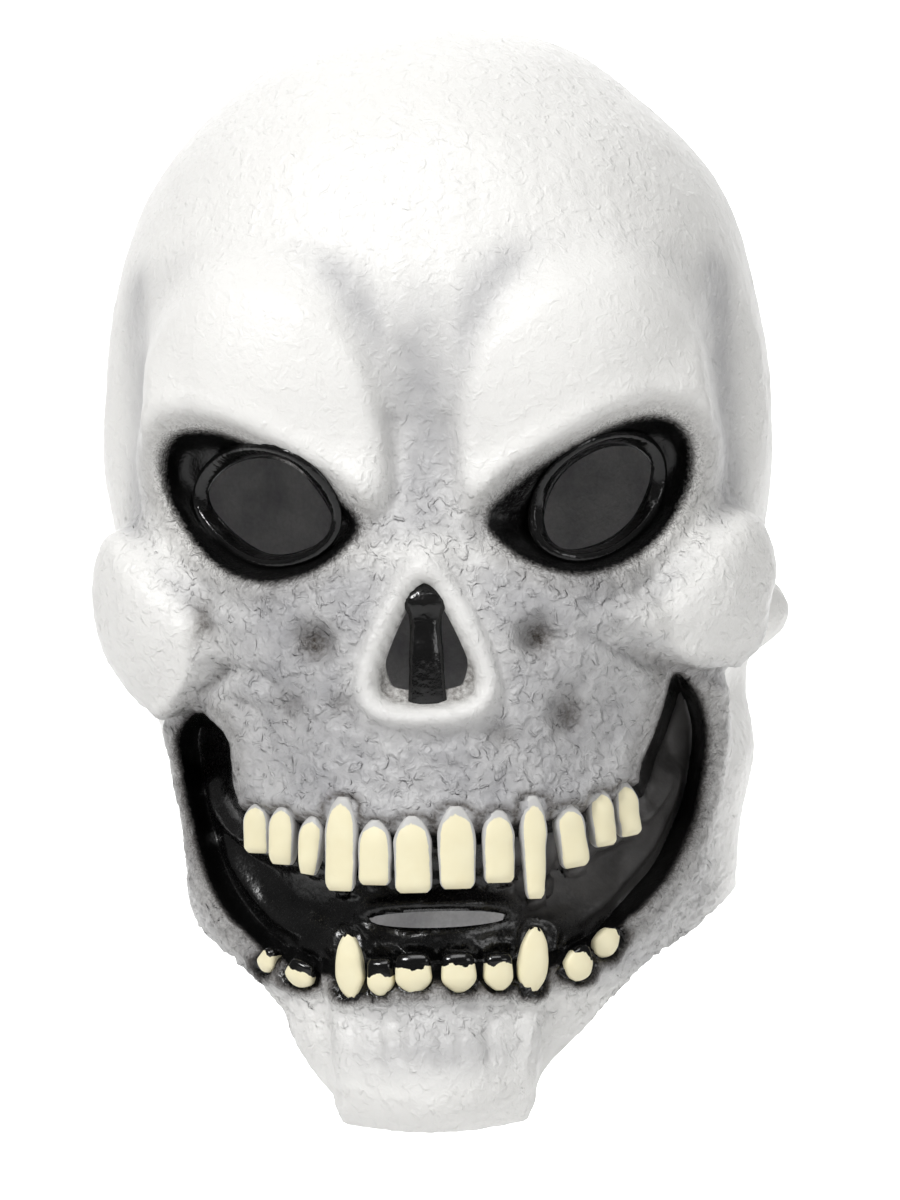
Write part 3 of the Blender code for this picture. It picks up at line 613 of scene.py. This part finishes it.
def addNode(material, kind, links=None, **settings):
    node = material.node_tree.nodes.new("ShaderNode" + kind)
    for key, value in settings.items():
        if key.startswith("in_"):
            name = key[3:]
            socket = node.inputs[int(name)] if name.isdigit() else node.inputs[name.replace("_", " ")]
            socket.default_value = value
        else:
            setattr(node, key, value)
    for socket, source in (links or {}).items():
        material.node_tree.links.new(source, node.inputs[socket])
    return node


def noiseNode(material, place, size, detail, output=0, **settings):
    made = addNode(material, "TexNoise", {"Vector": place}, in_Scale=1 / size, in_Detail=detail, **settings)
    return made.outputs[output]


def mathNode(material, operation, *terms, **settings):
    # each term is a socket or a number
    links = {i: term for i, term in enumerate(terms) if not isinstance(term, float)}
    values = {f"in_{i}": term for i, term in enumerate(terms) if isinstance(term, float)}
    return addNode(material, "Math", links, operation=operation, **values, **settings).outputs[0]


def rangeNode(material, value, low, high, first=0.0, last=1.0, **settings):
    made = addNode(
        material, "MapRange", {"Value": value}, in_1=low, in_2=high, in_3=first, in_4=last, **settings
    )
    return made.outputs[0]


def mixNode(material, share, first, last):
    # each colour is a socket or an sRGB hex colour
    links, values = {"Factor": share}, {}
    for index, colour in ((6, first), (7, last)):
        if isinstance(colour, str):
            values[f"in_{index}"] = linear(colour)
        else:
            links[index] = colour
    return addNode(material, "Mix", links, data_type="RGBA", **values).outputs[2]


def bumpNode(material, height, strength, distance, under=None):
    links = {"Height": height} if under is None else {"Height": height, "Normal": under}
    return addNode(material, "Bump", links, in_Strength=strength, in_Distance=distance).outputs[0]


def layerIn(material, name):
    layer = addNode(material, "Attribute", attribute_name=name).outputs["Color"]
    return addNode(material, "SeparateColor", {0: layer}).outputs


def finished(material, colour, roughness, normal, ior):
    links = {"Base Color": colour, "Roughness": roughness, "Normal": normal}
    shader = addNode(material, "BsdfPrincipled", links, in_IOR=ior)
    addNode(material, "OutputMaterial", {"Surface": shader.outputs[0]})
    return material


def paintedLatex():
    # Latex cast in a mould, sponged white, airbrushed grey, with gloss black brushed into the openings. Matt
    # and chalky on the white, with grey and painted shade in the folds; wet-looking on the black.
    look = {
        "white": "#f5f4f1",
        "greyWash": "#8f8f94",
        "foldGrey": "#5f5d60",
        "dirt": "#4a433c",
        "thinBlack": "#38322d",
        "black": "#0a0a0a",
        "foldSize": 2.7 * mm,
        "strokeSize": 3.6 * mm,
        "fineSize": 1.0 * mm,
        "speckSize": 1.1 * mm,
        "hairSize": 0.55 * mm,
        "cloudSize": 15 * mm,
    }
    m = newMaterial("paintedLatex")
    place = addNode(m, "TexCoord").outputs["Object"]
    greyIn, crinkleIn, dirtAndShadeIn = layerIn(m, "paint")
    socketIn, mouthIn, noseIn = layerIn(m, "edges")
    # folds: thin curled crevices where a warped noise passes its middle, broken into short strokes
    warp = noiseNode(m, place, look["foldSize"] * 1.5, 1.0, output=1)
    bent = addNode(m, "VectorMath", {0: warp}, operation="SCALE", in_Scale=look["foldSize"] * 1.6)
    moved = addNode(m, "VectorMath", {0: place, 1: bent.outputs[0]}, operation="ADD").outputs[0]
    foldNoise = noiseNode(m, moved, look["foldSize"], 2.0, in_Roughness=0.45)
    away = mathNode(m, "ABSOLUTE", mathNode(m, "SUBTRACT", foldNoise, 0.5))
    crevice = rangeNode(m, away, 0.0, 0.24, 1.0, 0.0, interpolation_type="SMOOTHSTEP")
    stroke = rangeNode(m, noiseNode(m, place, look["strokeSize"], 1.0), 0.38, 0.58, 0.15, 1.0)
    inFold = mathNode(m, "MULTIPLY", mathNode(m, "MULTIPLY", crevice, stroke), crinkleIn)
    fine = noiseNode(m, moved, look["fineSize"], 3.0, in_Roughness=0.6)
    speck = noiseNode(m, place, look["speckSize"], 3.0, in_Roughness=0.65)
    cloud = noiseNode(m, place, look["cloudSize"], 3.0, in_Roughness=0.6)
    # grey wash with painted shade under the cheekbones and on the right temple, broken by the clouding of the
    # airbrush
    greyAll = mathNode(m, "MULTIPLY", greyIn, rangeNode(m, cloud, 0.3, 0.7, 0.58, 0.95))
    washedAndShaded = mixNode(m, greyAll, look["white"], look["greyWash"])
    # painted shade in the fold crevices with grey wash caught there, more of it where the wash is
    foldWashAndShade = mathNode(m, "MULTIPLY", inFold, mathNode(m, "MULTIPLY_ADD", greyIn, 0.14, 0.02))
    folded = mixNode(m, foldWashAndShade, washedAndShaded, look["foldGrey"])
    # darker brown in the pits, painted shade round the roots and under the cheekbones, and brown at the edges
    # of the black
    dirtAndShadeAll = mathNode(m, "MULTIPLY", dirtAndShadeIn, rangeNode(m, speck, 0.3, 0.7, 0.5, 1.15), use_clamp=True)
    dirtiedAndShaded = mixNode(m, dirtAndShadeAll, folded, look["dirt"])
    # black: a thin scratchy brown band, then the full coat, round eyes and jaw; a clean edge in the nose
    hair = noiseNode(m, moved, look["hairSize"], 2.0)
    thinSocket = rangeNode(m, mathNode(m, "MULTIPLY_ADD", hair, 0.34, socketIn), 0.58, 0.72, 0.0, 0.8)
    thinMouth = rangeNode(m, mathNode(m, "MULTIPLY_ADD", hair, 0.16, mouthIn), 0.5, 0.6, 0.0, 0.8)
    thinned = mixNode(m, mathNode(m, "MAXIMUM", thinSocket, thinMouth), dirtiedAndShaded, look["thinBlack"])
    socketMask = rangeNode(m, mathNode(m, "MULTIPLY_ADD", speck, 0.14, socketIn), 0.55, 0.64)
    mouthMask = rangeNode(m, mathNode(m, "MULTIPLY_ADD", speck, 0.05, mouthIn), 0.52, 0.57)
    noseMask = rangeNode(m, mathNode(m, "MULTIPLY_ADD", speck, 0.03, noseIn), 0.54, 0.575, 0.0, 0.9)
    blackMask = mathNode(m, "MAXIMUM", mathNode(m, "MAXIMUM", socketMask, mouthMask), noseMask)
    colour = mixNode(m, blackMask, thinned, look["black"])
    # relief of the folds, over the coarser ones that the mesh carries
    first = bumpNode(m, mathNode(m, "MULTIPLY", inFold, -1.0), 0.75, 0.5 * mm)
    second = bumpNode(m, mathNode(m, "MULTIPLY", foldNoise, crinkleIn), 0.8, 1.8 * mm, first)
    third = bumpNode(m, fine, 0.45, 0.4 * mm, second)
    return finished(m, colour, rangeNode(m, blackMask, 0.0, 1.0, 0.4, 0.16), third, 1.45)


def glossEnamel(name, roughness, wave=2.2 * mm, thin="#0a0a0a"):
    # Gloss black enamel brushed over latex: a wet film with slow waves and a few specks of dust, duller and
    # greyer where it was brushed thin, the grey partly a painted satin sheen.
    m = newMaterial(name)
    place = addNode(m, "TexCoord").outputs["Object"]
    thinAndSheenIn = layerIn(m, "paint")[0]
    waves = noiseNode(m, place, wave, 2.0)
    specks = noiseNode(m, place, 0.7 * mm, 3.0)
    worn = noiseNode(m, place, 11 * mm, 3.0)
    coat = mixNode(m, rangeNode(m, worn, 0.45, 0.75, 0.0, 0.6), "#0a0a0a", "#1d1c1c")
    thinAndSheenMask = mathNode(m, "MULTIPLY", thinAndSheenIn, rangeNode(m, worn, 0.35, 0.6, 0.55, 1.0))
    glossy = rangeNode(m, specks, 0.35, 0.75, roughness, roughness + 0.16)
    rough = mathNode(m, "MULTIPLY_ADD", thinAndSheenMask, 0.25, glossy)
    relief = bumpNode(m, specks, 0.08, 0.2 * mm, bumpNode(m, waves, 0.35, 0.5 * mm))
    return finished(m, mixNode(m, thinAndSheenMask, coat, thin), rough, relief, 1.5)


def creamEnamel():
    # Cream enamel over latex, satin; the bare grey latex shows at the root and black paint covers some tops.
    m = newMaterial("creamEnamel")
    place = addNode(m, "TexCoord").outputs["Object"]
    bareIn, blackIn, _ = layerIn(m, "paint")
    speck = noiseNode(m, place, 1.3 * mm, 3.0)
    tone = mixNode(m, noiseNode(m, place, 5 * mm, 2.0), "#faf3d2", "#f4eac4")
    bareMask = rangeNode(m, mathNode(m, "MULTIPLY_ADD", speck, 0.1, bareIn), 0.53, 0.57)
    blackMask = rangeNode(m, mathNode(m, "MULTIPLY_ADD", speck, 0.35, blackIn), 0.66, 0.68)
    colour = mixNode(m, blackMask, mixNode(m, bareMask, tone, "#c9c8c6"), "#0c0c0c")
    rough = rangeNode(m, blackMask, 0.0, 1.0, 0.42, 0.15)
    return finished(m, colour, rough, bumpNode(m, speck, 0.12, 0.2 * mm), 1.5)


latex = paintedLatex()
# the lining's thin colour, a lighter grey: partly the thin coat, partly a painted satin sheen
blackLining = glossEnamel("glossEnamelLining", roughness=0.18, thin="#5a5857")
blackBead = glossEnamel("glossEnamelBead", roughness=0.1, wave=1.6 * mm)
cream = creamEnamel()


def newObject(name, data):
    made = bpy.data.objects.new(name, data)
    bpy.context.scene.collection.objects.link(made)
    return made


def addPiece(name, vertices, faces, material, slotName, nodes, **layers):
    mesh = bpy.data.meshes.new(name)
    mesh.from_pydata([tuple(map(float, v)) for v in vertices], [], [tuple(map(int, f)) for f in faces])
    for layerName, values in layers.items():
        layer = mesh.color_attributes.new(layerName, "FLOAT_COLOR", "POINT")
        layer.data.foreach_set("color", np.asarray(values, dtype=np.float32).ravel())
    mesh.update()
    made = newObject(name, mesh)
    mesh.materials.append(material)
    for face in mesh.polygons:
        face.use_smooth = True
    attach(made, "root")
    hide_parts(*nodes)
    return made


def gridFaces(rows, columns, start=0, flip=False):
    faces = []
    for r in range(rows - 1):
        for c in range(columns):
            n = (c + 1) % columns
            a, b = start + r * columns, start + (r + 1) * columns
            face = (a, b + c, b + n) if r == 0 else (a + c, b + c, b + n, a + n)
            faces.append(face[::-1] if flip else face)
    return faces


def tubeFaces(rings, around, capped=True):
    # between rings of points, with a cap on both ends or else closed on itself
    faces = []
    for i in range(rings - 1 if capped else rings):
        j = (i + 1) % rings
        for k in range(around):
            m = (k + 1) % around
            faces.append((i * around + k, i * around + m, j * around + m, j * around + k))
    if capped:
        last = rings * around - 1
        faces += [tuple(range(around)), tuple(range(last, last - around, -1))]
    return faces


def tidyMesh(piece):
    shape = bmesh.new()
    shape.from_mesh(piece.data)
    bmesh.ops.recalc_face_normals(shape, faces=shape.faces)
    shape.to_mesh(piece.data)
    shape.free()


def smoother(piece, levels):
    step = piece.modifiers.new("smooth", "SUBSURF")
    step.levels = step.render_levels = levels


def gridTree(points):
    vertices = [Vector(v) for v in points.reshape(-1, 3)]
    return BVHTree.FromPolygons(vertices, gridFaces(*points.shape[:2])[points.shape[1] :])


def cutHoles(vertices, faces, inside, layers):
    # drops what lies inside (above 0), trims the faces on the edge and gives the edge as pairs of new points
    vertices = [tuple(v) for v in vertices]
    layers = {name: [tuple(v) for v in values] for name, values in layers.items()}
    kept, rim, made = [], [], {}

    def crossing(i, j):
        key = (min(i, j), max(i, j))
        if key not in made:
            i, j = key
            t = inside[i] / (inside[i] - inside[j])
            made[key] = len(vertices)
            vertices.append(tuple(a + (b - a) * t for a, b in zip(vertices[i], vertices[j])))
            for values in layers.values():
                values.append(tuple(a + (b - a) * t for a, b in zip(values[i], values[j])))
        return made[key]

    for face in faces:
        deep = [inside[i] > 0 for i in face]
        if not any(deep):
            kept.append(face)
        elif not all(deep):
            for tri in [face] if len(face) == 3 else [face[:3], (face[0], face[2], face[3])]:
                trimmed, ends = [], []
                for i, j in zip(tri, tri[1:] + tri[:1]):
                    if inside[i] <= 0:
                        trimmed.append(i)
                    if (inside[i] > 0) != (inside[j] > 0):
                        trimmed.append(crossing(i, j))
                        ends.append((trimmed[-1], inside[j] > 0))
                if len(trimmed) > 2:
                    kept.append(tuple(trimmed))
                if len(ends) == 2:
                    rim.append(tuple(end[0] for end in sorted(ends, key=lambda end: not end[1])))
    return vertices, kept, layers, rim


def compact(vertices, faces, layers):
    used = sorted({i for face in faces for i in face})
    index = {old: new for new, old in enumerate(used)}
    faces = [tuple(index[i] for i in face) for face in faces]
    layers = {name: [values[i] for i in used] for name, values in layers.items()}
    return [vertices[i] for i in used], faces, layers


eyeLines = [smoothOutline(leftEyeOutline, False), smoothOutline(rightEyeOutline, False)]
windowLine = smoothOutline(mouthWindow, True)
noseHole = {"inset": 0.9 * mm, "shelf": 3.0 * mm}


def intoHoles(points):
    seen = points[..., [0, 2]]
    deepest = np.maximum(outlineDistance(seen, eyeLines[0]), outlineDistance(seen, eyeLines[1]))
    shelf = noseHole["shelf"] * falling(points[..., 2] - crownZ, -173, 9)
    deepest = np.maximum(deepest, outlineDistance(seen, noseLine) - noseHole["inset"] - shelf)
    deepest = np.maximum(deepest, outlineDistance(seen, windowLine))
    return np.where(points[..., 1] < -0.02, deepest, -1.0)


def rolledEdge(vertices, layers, rim, steps):
    # rolls the cut edge back through the wall: steps are (towards the hole, back) in millimetres
    corners = sorted({i for pair in rim for i in pair})
    at = np.array([vertices[i] for i in corners])
    dx, dz = np.array([0.2 * mm, 0, 0]), np.array([0, 0, 0.2 * mm])
    slope = unit(np.stack([intoHoles(at + step) - intoHoles(at - step) for step in (dx, dz)], axis=-1))
    rows = [dict(zip(corners, corners))]
    for inwards, back in steps:
        row = {}
        for k, i in enumerate(corners):
            row[i] = len(vertices)
            vx, vy, vz = vertices[i]
            aside, up = slope[k] * inwards * mm
            vertices.append((vx + aside, vy + back * mm, vz + up))
            for values in layers.values():
                values.append(values[i])
        rows.append(row)
    faces = []
    for near, far in zip(rows[:-1], rows[1:]):
        faces += [(near[j], near[i], far[i], far[j]) for i, j in rim]
    return faces


print("shell")
outerIn = intoHoles(skin).ravel()
outerLayers = {"paint": paint.reshape(-1, 4), "edges": edges.reshape(-1, 4)}
outer = cutHoles(skin.reshape(-1, 3), gridFaces(rowCount, columnCount), outerIn, outerLayers)
shellVertices, shellFaces, shellLayers, shellRim = outer
rollSteps = ((0.35, 0.35), (0.45, 1.1), (0.3, 2.4))
shellFaces = shellFaces + rolledEdge(shellVertices, shellLayers, shellRim, rollSteps)
innerSkin = (skin - normals * headForm["wall"])[::2, ::2]
innerRows, innerColumns = innerSkin.shape[:2]
innerStart = len(shellVertices)
innerCount = innerRows * innerColumns
# the inside: the full grey wash and some of the brown, darker than the outside as painted shade in the hollow
plainLayers = {
    "paint": np.tile([0.9, 0.1, 0.3, 1.0], (innerCount, 1)),
    "edges": np.tile([0.0, 0.0, 0.0, 1.0], (innerCount, 1)),
}
innerFaces = gridFaces(innerRows, innerColumns, flip=True)
inner = cutHoles(innerSkin.reshape(-1, 3), innerFaces, intoHoles(innerSkin).ravel(), plainLayers)
shellVertices += inner[0]
shellFaces += [tuple(innerStart + i for i in face) for face in inner[1]]
for name in shellLayers:
    shellLayers[name] += inner[2][name]
lastOuter = (rowCount - 1) * columnCount
lastInner = innerStart + (innerRows - 1) * innerColumns
for c in range(innerColumns):
    n = (c + 1) % innerColumns
    a, b, d = 2 * c, 2 * c + 1, (2 * c + 2) % columnCount
    shellFaces.append((lastOuter + a, lastInner + c, lastOuter + b))
    shellFaces.append((lastOuter + b, lastInner + c, lastInner + n))
    shellFaces.append((lastOuter + b, lastInner + n, lastOuter + d))
shellVertices, shellFaces, shellLayers = compact(shellVertices, shellFaces, shellLayers)
addPiece("skullShell", shellVertices, shellFaces, latex, "white_latex", ["skull_shell"], **shellLayers)


def shrunk(line, amount):
    # an outline moved inwards by an amount in millimetres
    line = np.array(line, dtype=float)
    ahead = np.roll(line, -1, axis=0) - np.roll(line, 1, axis=0)
    side = unit(np.stack([-ahead[:, 1], ahead[:, 0]], axis=1))
    area = np.sum(line[:, 0] * np.roll(line[:, 1], -1) - np.roll(line[:, 0], -1) * line[:, 1])
    return line + side * amount * (1 if area > 0 else -1)


frontY = -0.17
skinTree = gridTree(skin)


def skinAt(x, z):
    hit, normal, _, _ = skinTree.ray_cast(Vector((x, frontY, z)), Vector((0.0, 1.0, 0.0)))
    if normal.y > 0:
        normal = -normal
    return hit, normal


# Mouth lining: the recess floor, a little proud of the shell's step to hide the seam, with the slit's lips.
print("mouth lining")
lining = {
    "reach": 2.6 * mm,  # how far inside the mouth outline it starts
    "wall": 1.5 * mm,
    "slitZ": -241.5 * mm,
    "slitHalfWidth": 18 * mm,
    "slitHalfHeight": 2.2 * mm,
}
slitReach = [lining["slitHalfWidth"] / mm, lining["slitHalfHeight"] / mm]
slitOutline = [
    (0.6 + slitReach[0] * math.cos(a), lining["slitZ"] / mm + slitReach[1] * math.sin(a))
    for a in np.linspace(0.0, 2 * math.pi, 48, endpoint=False)
]
slitOut = -outlineDistance(view, slitOutline)
outerBand = np.clip(rising(fromMiddle, 30, 16) + falling(z, -247, 6), 0, 1)
lipHeight = np.where(z > lining["slitZ"], 3.2, 1.6) * mm * np.clip(1 - fromMiddle / (24 * mm), 0, 1) ** 0.5
liningLift = (
    0.35 * mm * rising(intoMouth, lining["reach"] / mm + 0.6, 2.0)
    - 0.7 * mm * (1 - rising(intoMouth, lining["reach"] / mm, 1.6))
    + 2.0 * mm * band(intoMouth, 8.0, 1.6) * outerBand * falling(z, -200, 8)
    - 2.5 * mm * rising(intoMouth, 9.5, 6) * (1 - band(slitOut, 0, 5))
    + lipHeight * band(slitOut, 2.4, 2.2)
    + softNoise(plain, 11 * mm, 4.0) * 0.8 * mm * rising(intoMouth, 4, 4)
)
liningSkin = skin + normals * liningLift[..., None]
inLining = ((intoMouth > lining["reach"]) & (facing > 0.01)).ravel()
allFaces = gridFaces(rowCount, columnCount)[columnCount:]
liningFaces = [face for face in allFaces if all(inLining[i] for i in face)]
# lighter grey on the right of the lining, towards the top: a thinner coat with a painted satin sheen
thinCoatAndSheen = rising(x, 10, 24) * rising(intoMouth, 2.6, 3) * rising(z, -250, 16)
coat = np.stack([thinCoatAndSheen, thinCoatAndSheen * 0, thinCoatAndSheen * 0, np.ones_like(thinCoatAndSheen)], axis=-1).reshape(-1, 4)
liningCut = cutHoles(liningSkin.reshape(-1, 3), liningFaces, -slitOut.ravel(), {"paint": coat})
liningVertices, liningFaces, liningLayers = compact(*liningCut[:3])
liningPiece = addPiece(
    "mouthLining", liningVertices, liningFaces, blackLining, "black_lining", ["mouth_lining"], **liningLayers
)
solid = liningPiece.modifiers.new("wall", "SOLIDIFY")
solid.thickness = lining["wall"]
solid.offset = -1.0

# Eye beads: a broad rounded lip round each hole.
print("eye rims")
eyeRim = {
    "offset": 2.5,  # from the hole's edge to the middle of the lip, in millimetres
    "halfWidth": 2.5 * mm,
    "height": 1.7 * mm,
    "sides": 14,
}


def eyeRimPiece(name, outline, node):
    line = shrunk(smoothOutline(outline, False, 1), -eyeRim["offset"])
    count = len(line)
    spots, ups = [], []
    for px, pz in line:
        hit, normal = skinAt(px * mm, pz * mm + crownZ)
        spots.append(tuple(hit))
        ups.append(tuple(normal))
    spots, ups = np.array(spots), np.array(ups)
    for _ in range(3):
        spots = (spots * 2 + np.roll(spots, 1, axis=0) + np.roll(spots, -1, axis=0)) / 4
        ups = unit(ups * 2 + np.roll(ups, 1, axis=0) + np.roll(ups, -1, axis=0))
    centre = spots.mean(axis=0)
    vertices = []
    for i in range(count):
        along = unit(spots[(i + 1) % count] - spots[i - 1])
        up = unit(ups[i] - along * (ups[i] @ along))
        out = np.cross(along, up)
        if (spots[i] - centre) @ out < 0:
            out = -out
        swell = 1 + 0.16 * float(softNoise(spots[i][None], 9 * mm, 2.0)[0])
        for k in range(eyeRim["sides"]):
            a = 2 * math.pi * k / eyeRim["sides"]
            tall = math.sin(a)
            tall = tall if tall > 0 else tall * 0.6
            crest = 0.35 * math.exp(-((math.cos(a) - 0.55) ** 2) / 0.06) * (tall > 0)
            vertices.append(
                spots[i] + out * eyeRim["halfWidth"] * swell * math.cos(a)
                + up * (eyeRim["height"] * swell * (tall * 0.8 + crest) + 0.1 * mm)
            )
    faces = tubeFaces(count, eyeRim["sides"], capped=False)
    piece = addPiece(name, vertices, faces, blackBead, "black_bead", [node])
    tidyMesh(piece)
    smoother(piece, 1)


eyeRimPiece("eyeRimLeft", leftEyeOutline, "eye_rim_left")
eyeRimPiece("eyeRimRight", rightEyeOutline, "eye_rim_right")

# Nose bar: a cap that fills the top of the opening, then a rounded strip down to its floor.
print("nose bar")
barColumns = "z half forward".split()
barTable = (
    (-149.0, 3.5, -4.5), (-152.0, 4.6, -4.0), (-155.0, 5.6, -2.6), (-157.5, 6.4, -1.6), (-159.5, 6.2, -1.6),
    (-161.0, 5.0, -2.0), (-163.0, 4.3, -2.4), (-167.0, 4.2, -2.5), (-171.0, 4.6, -1.8), (-174.0, 4.7, -2.0),
    (-179.0, 4.8, -2.6), (-184.0, 5.2, -3.2), (-188.0, 5.6, -4.6), (-190.5, 5.6, -5.6),
)
barProfile = (
    (-1.0, -0.9), (-0.96, -0.3), (-0.75, 0.35), (-0.4, 0.75), (0.0, 0.9), (0.4, 0.75), (0.75, 0.35),
    (0.96, -0.3), (1.0, -0.9), (0.5, -1.2), (-0.5, -1.2),
)
noseTopY = float(skinAt(0, -147 * mm + crownZ)[0].y)
noseBottomY = float(skinAt(0, -191 * mm + crownZ)[0].y)
barVertices = []
barTop, barBottom = barTable[0][0], barTable[-1][0]
for values in barTable:
    section = dict(zip(barColumns, values))
    t = (section["z"] - barTop) / (barBottom - barTop)
    middleY = noseTopY + (noseBottomY - noseTopY) * t - section["forward"] * mm + 1.2 * mm
    for a, b in barProfile:
        barVertices.append((a * section["half"] * mm, middleY - b * 1.5 * mm, section["z"] * mm + crownZ))
barFaces = tubeFaces(len(barTable), len(barProfile))
bar = addPiece("noseBar", barVertices, barFaces, blackBead, "black_bead", ["nose_bar"])
tidyMesh(bar)
smoother(bar, 2)


# Teeth: rounded pegs that lie on the jaw, their root ends sunk in the gum.
print("teeth")
toothForm = {"thickness": 4.2 * mm, "proud": 1.4 * mm, "sections": 26, "around": 24}


def toothPiece(name, spec, node):
    stands = spec["stands"]
    length = spec["length"]
    seatZ = spec["midZ"] - stands * 0.28 * length
    flat = jawTree.ray_cast(Vector((spec["x"] * mm, frontY, seatZ)), Vector((0.0, 1.0, 0.0)))[0]
    normal = Vector((spec["x"] * 0.012, -1.0, 0.0)).normalized()
    across = Vector((0.0, 0.0, 1.0)).cross(-normal).normalized()
    across = -across if across.x < 0 else across
    up = Vector((0.0, 0.0, 1.0))
    lean = math.radians(spec["lean"])
    side = across * math.cos(lean) - up * math.sin(lean)
    rise = up * math.cos(lean) + across * math.sin(lean)
    half = spec["width"] / 2 * mm / max(abs(across.x), 0.3)
    middle = Vector((spec["x"] * mm, flat.y, spec["midZ"]))
    vertices, values = [], []
    sections, around = toothForm["sections"], toothForm["around"]
    for i in range(sections + 1):
        t = i / sections  # from the root to the tip
        rootRound = math.sin(min(1.0, (t + 0.03) / 0.42) * math.pi / 2) ** 0.6
        corner = max(0.0, (t - spec["blunt"]) / (1 - spec["blunt"]))
        tipRound = math.sqrt(1 - (corner * (0.66 if spec["blunt"] > 0.7 else 0.97)) ** 2)
        flare = 1 + (spec["tip"] - 1) * t + 0.04 * math.sin(t * math.pi * 1.5)
        wide = half * flare * rootRound * tipRound
        bulk = 0.5 + 0.5 * math.sin(min(1.0, t / 0.4) * math.pi / 2)
        thick = toothForm["thickness"] * bulk * (1 - 0.45 * corner**1.5)
        centre = middle + rise * (stands * (t - 0.5) * length)
        for k in range(around):
            a = 2 * math.pi * k / around
            c, s = math.cos(a), math.sin(a)
            aside = math.copysign(abs(c) ** 0.62, c)
            out = abs(s) ** 0.55 * (1 - 0.18 * aside**2) if s > 0 else -(abs(s) ** 0.6) * 1.7
            forward = thick * 0.5 * (out + 0.35) + toothForm["proud"]
            spot = centre + side * (wide * aside) + normal * forward
            wobble = float(softNoise(np.array(spot)[None], 4.5 * mm, 7.0)[0]) * 0.22 * mm
            vertices.append(spot + normal * wobble + side * wobble)
            # how far past the edge of the cream paint, in tooth lengths
            bare = spec["bare"] * 0.7 + 0.15 * aside**2 - t if stands < 0 else -1.0
            bare = max(bare, (abs(aside) - 0.86) * 0.6 + 0.12 * (0.5 - t)) if stands < 0 else bare
            black = t - 1 + spec["bare"] + 0.05 * math.sin(aside * 4 + spec["x"]) if stands > 0 else -1.0
            values.append((0.5 + bare * 2, 0.5 + black * 2, 0.0, 1.0))
    faces = tubeFaces(sections + 1, around)
    tidyMesh(addPiece(name, vertices, faces, cream, "cream_tooth", [node], paint=np.clip(values, 0, 1)))


jawTree = gridTree(formed)
for name, spec in teeth.items():
    toothPiece(name, spec, name.replace("upperTooth", "upper_tooth_").replace("lowerTooth", "lower_tooth_"))

# Studio: a pale sweep, soft light from the front, the camera where the photo's was.
print("studio")
studio = {
    "floorZ": -0.43,
    "cameraTurn": 2.5,
    "cameraRoll": 1.5,
    "cameraAway": 1.685,
    "cameraZ": -0.1564,
    "cameraAside": 0.002,
    "lens": 183.2,
}


def areaLight(name, place, aim, size, power):
    light = bpy.data.lights.new(name, "AREA")
    light.shape = "RECTANGLE"
    light.size, light.size_y = size
    light.energy = power
    lamp = newObject(name, light)
    lamp.location = place
    lamp.rotation_euler = (Vector(aim) - Vector(place)).to_track_quat("-Z", "Y").to_euler()


def addFloor():
    rows = [(-4.0, 0.0), (1.6, 0.0), (2.1, 0.03), (2.6, 0.16), (3.0, 0.45), (3.2, 0.9), (3.25, 4.0)]
    vertices = [(sx * 6.0, py, studio["floorZ"] + pz) for py, pz in rows for sx in (-1, 1)]
    faces = [(2 * i, 2 * i + 1, 2 * i + 3, 2 * i + 2) for i in range(len(rows) - 1)]
    mesh = bpy.data.meshes.new("paleFloor")
    mesh.from_pydata(vertices, [], faces)
    for face in mesh.polygons:
        face.use_smooth = True
    floor = newObject("paleFloor", mesh)
    m = newMaterial("paperSweep")  # matt white background paper
    shader = addNode(m, "BsdfPrincipled", in_Base_Color=linear("#f7f7f7"), in_Roughness=0.9)
    addNode(m, "OutputMaterial", {"Surface": shader.outputs[0]})
    mesh.materials.append(m)
    floor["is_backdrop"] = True


addFloor()
areaLight("keyLight", (-0.75, -1.25, 1.1), (0, 0, -0.15), (0.45, 0.45), 21)
areaLight("fillLight", (1.1, -1.2, 0.3), (0, 0, -0.15), (0.5, 0.7), 3.5)
areaLight("topLight", (0.15, -0.95, 1.35), (0, -0.02, -0.15), (1.0, 0.5), 7)
areaLight("backdropLight", (0.0, 1.2, 1.6), (0, 3.0, -0.1), (3.0, 0.8), 110)
world = bpy.data.worlds.new("softWorld")
bpy.context.scene.world = world
world.use_nodes = True
world.node_tree.nodes["Background"].inputs[0].default_value = (1.0, 1.0, 1.0, 1.0)
world.node_tree.nodes["Background"].inputs[1].default_value = 0.14

turn, roll = math.radians(studio["cameraTurn"]), math.radians(studio["cameraRoll"])
rightAxis = Vector((math.cos(turn), math.sin(turn), 0))
forwardAxis = Vector((-math.sin(turn), math.cos(turn), 0))
upAxis = Vector((0, 0, 1))
cameraRight = rightAxis * math.cos(roll) - upAxis * math.sin(roll)
cameraUp = rightAxis * math.sin(roll) + upAxis * math.cos(roll)
pose = Matrix((cameraRight, cameraUp, -forwardAxis)).transposed().to_4x4()
eye = rightAxis * studio["cameraAside"] - forwardAxis * studio["cameraAway"] + upAxis * studio["cameraZ"]
pose.translation = eye
cameraData = bpy.data.cameras.new("photoCamera")
cameraData.lens = studio["lens"]
cameraData.sensor_width = 36
camera = newObject("photoCamera", cameraData)
camera.matrix_world = pose
bpy.context.scene.camera = camera
bpy.context.scene.view_settings.view_transform = "Standard"

lowest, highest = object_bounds()
print("done")
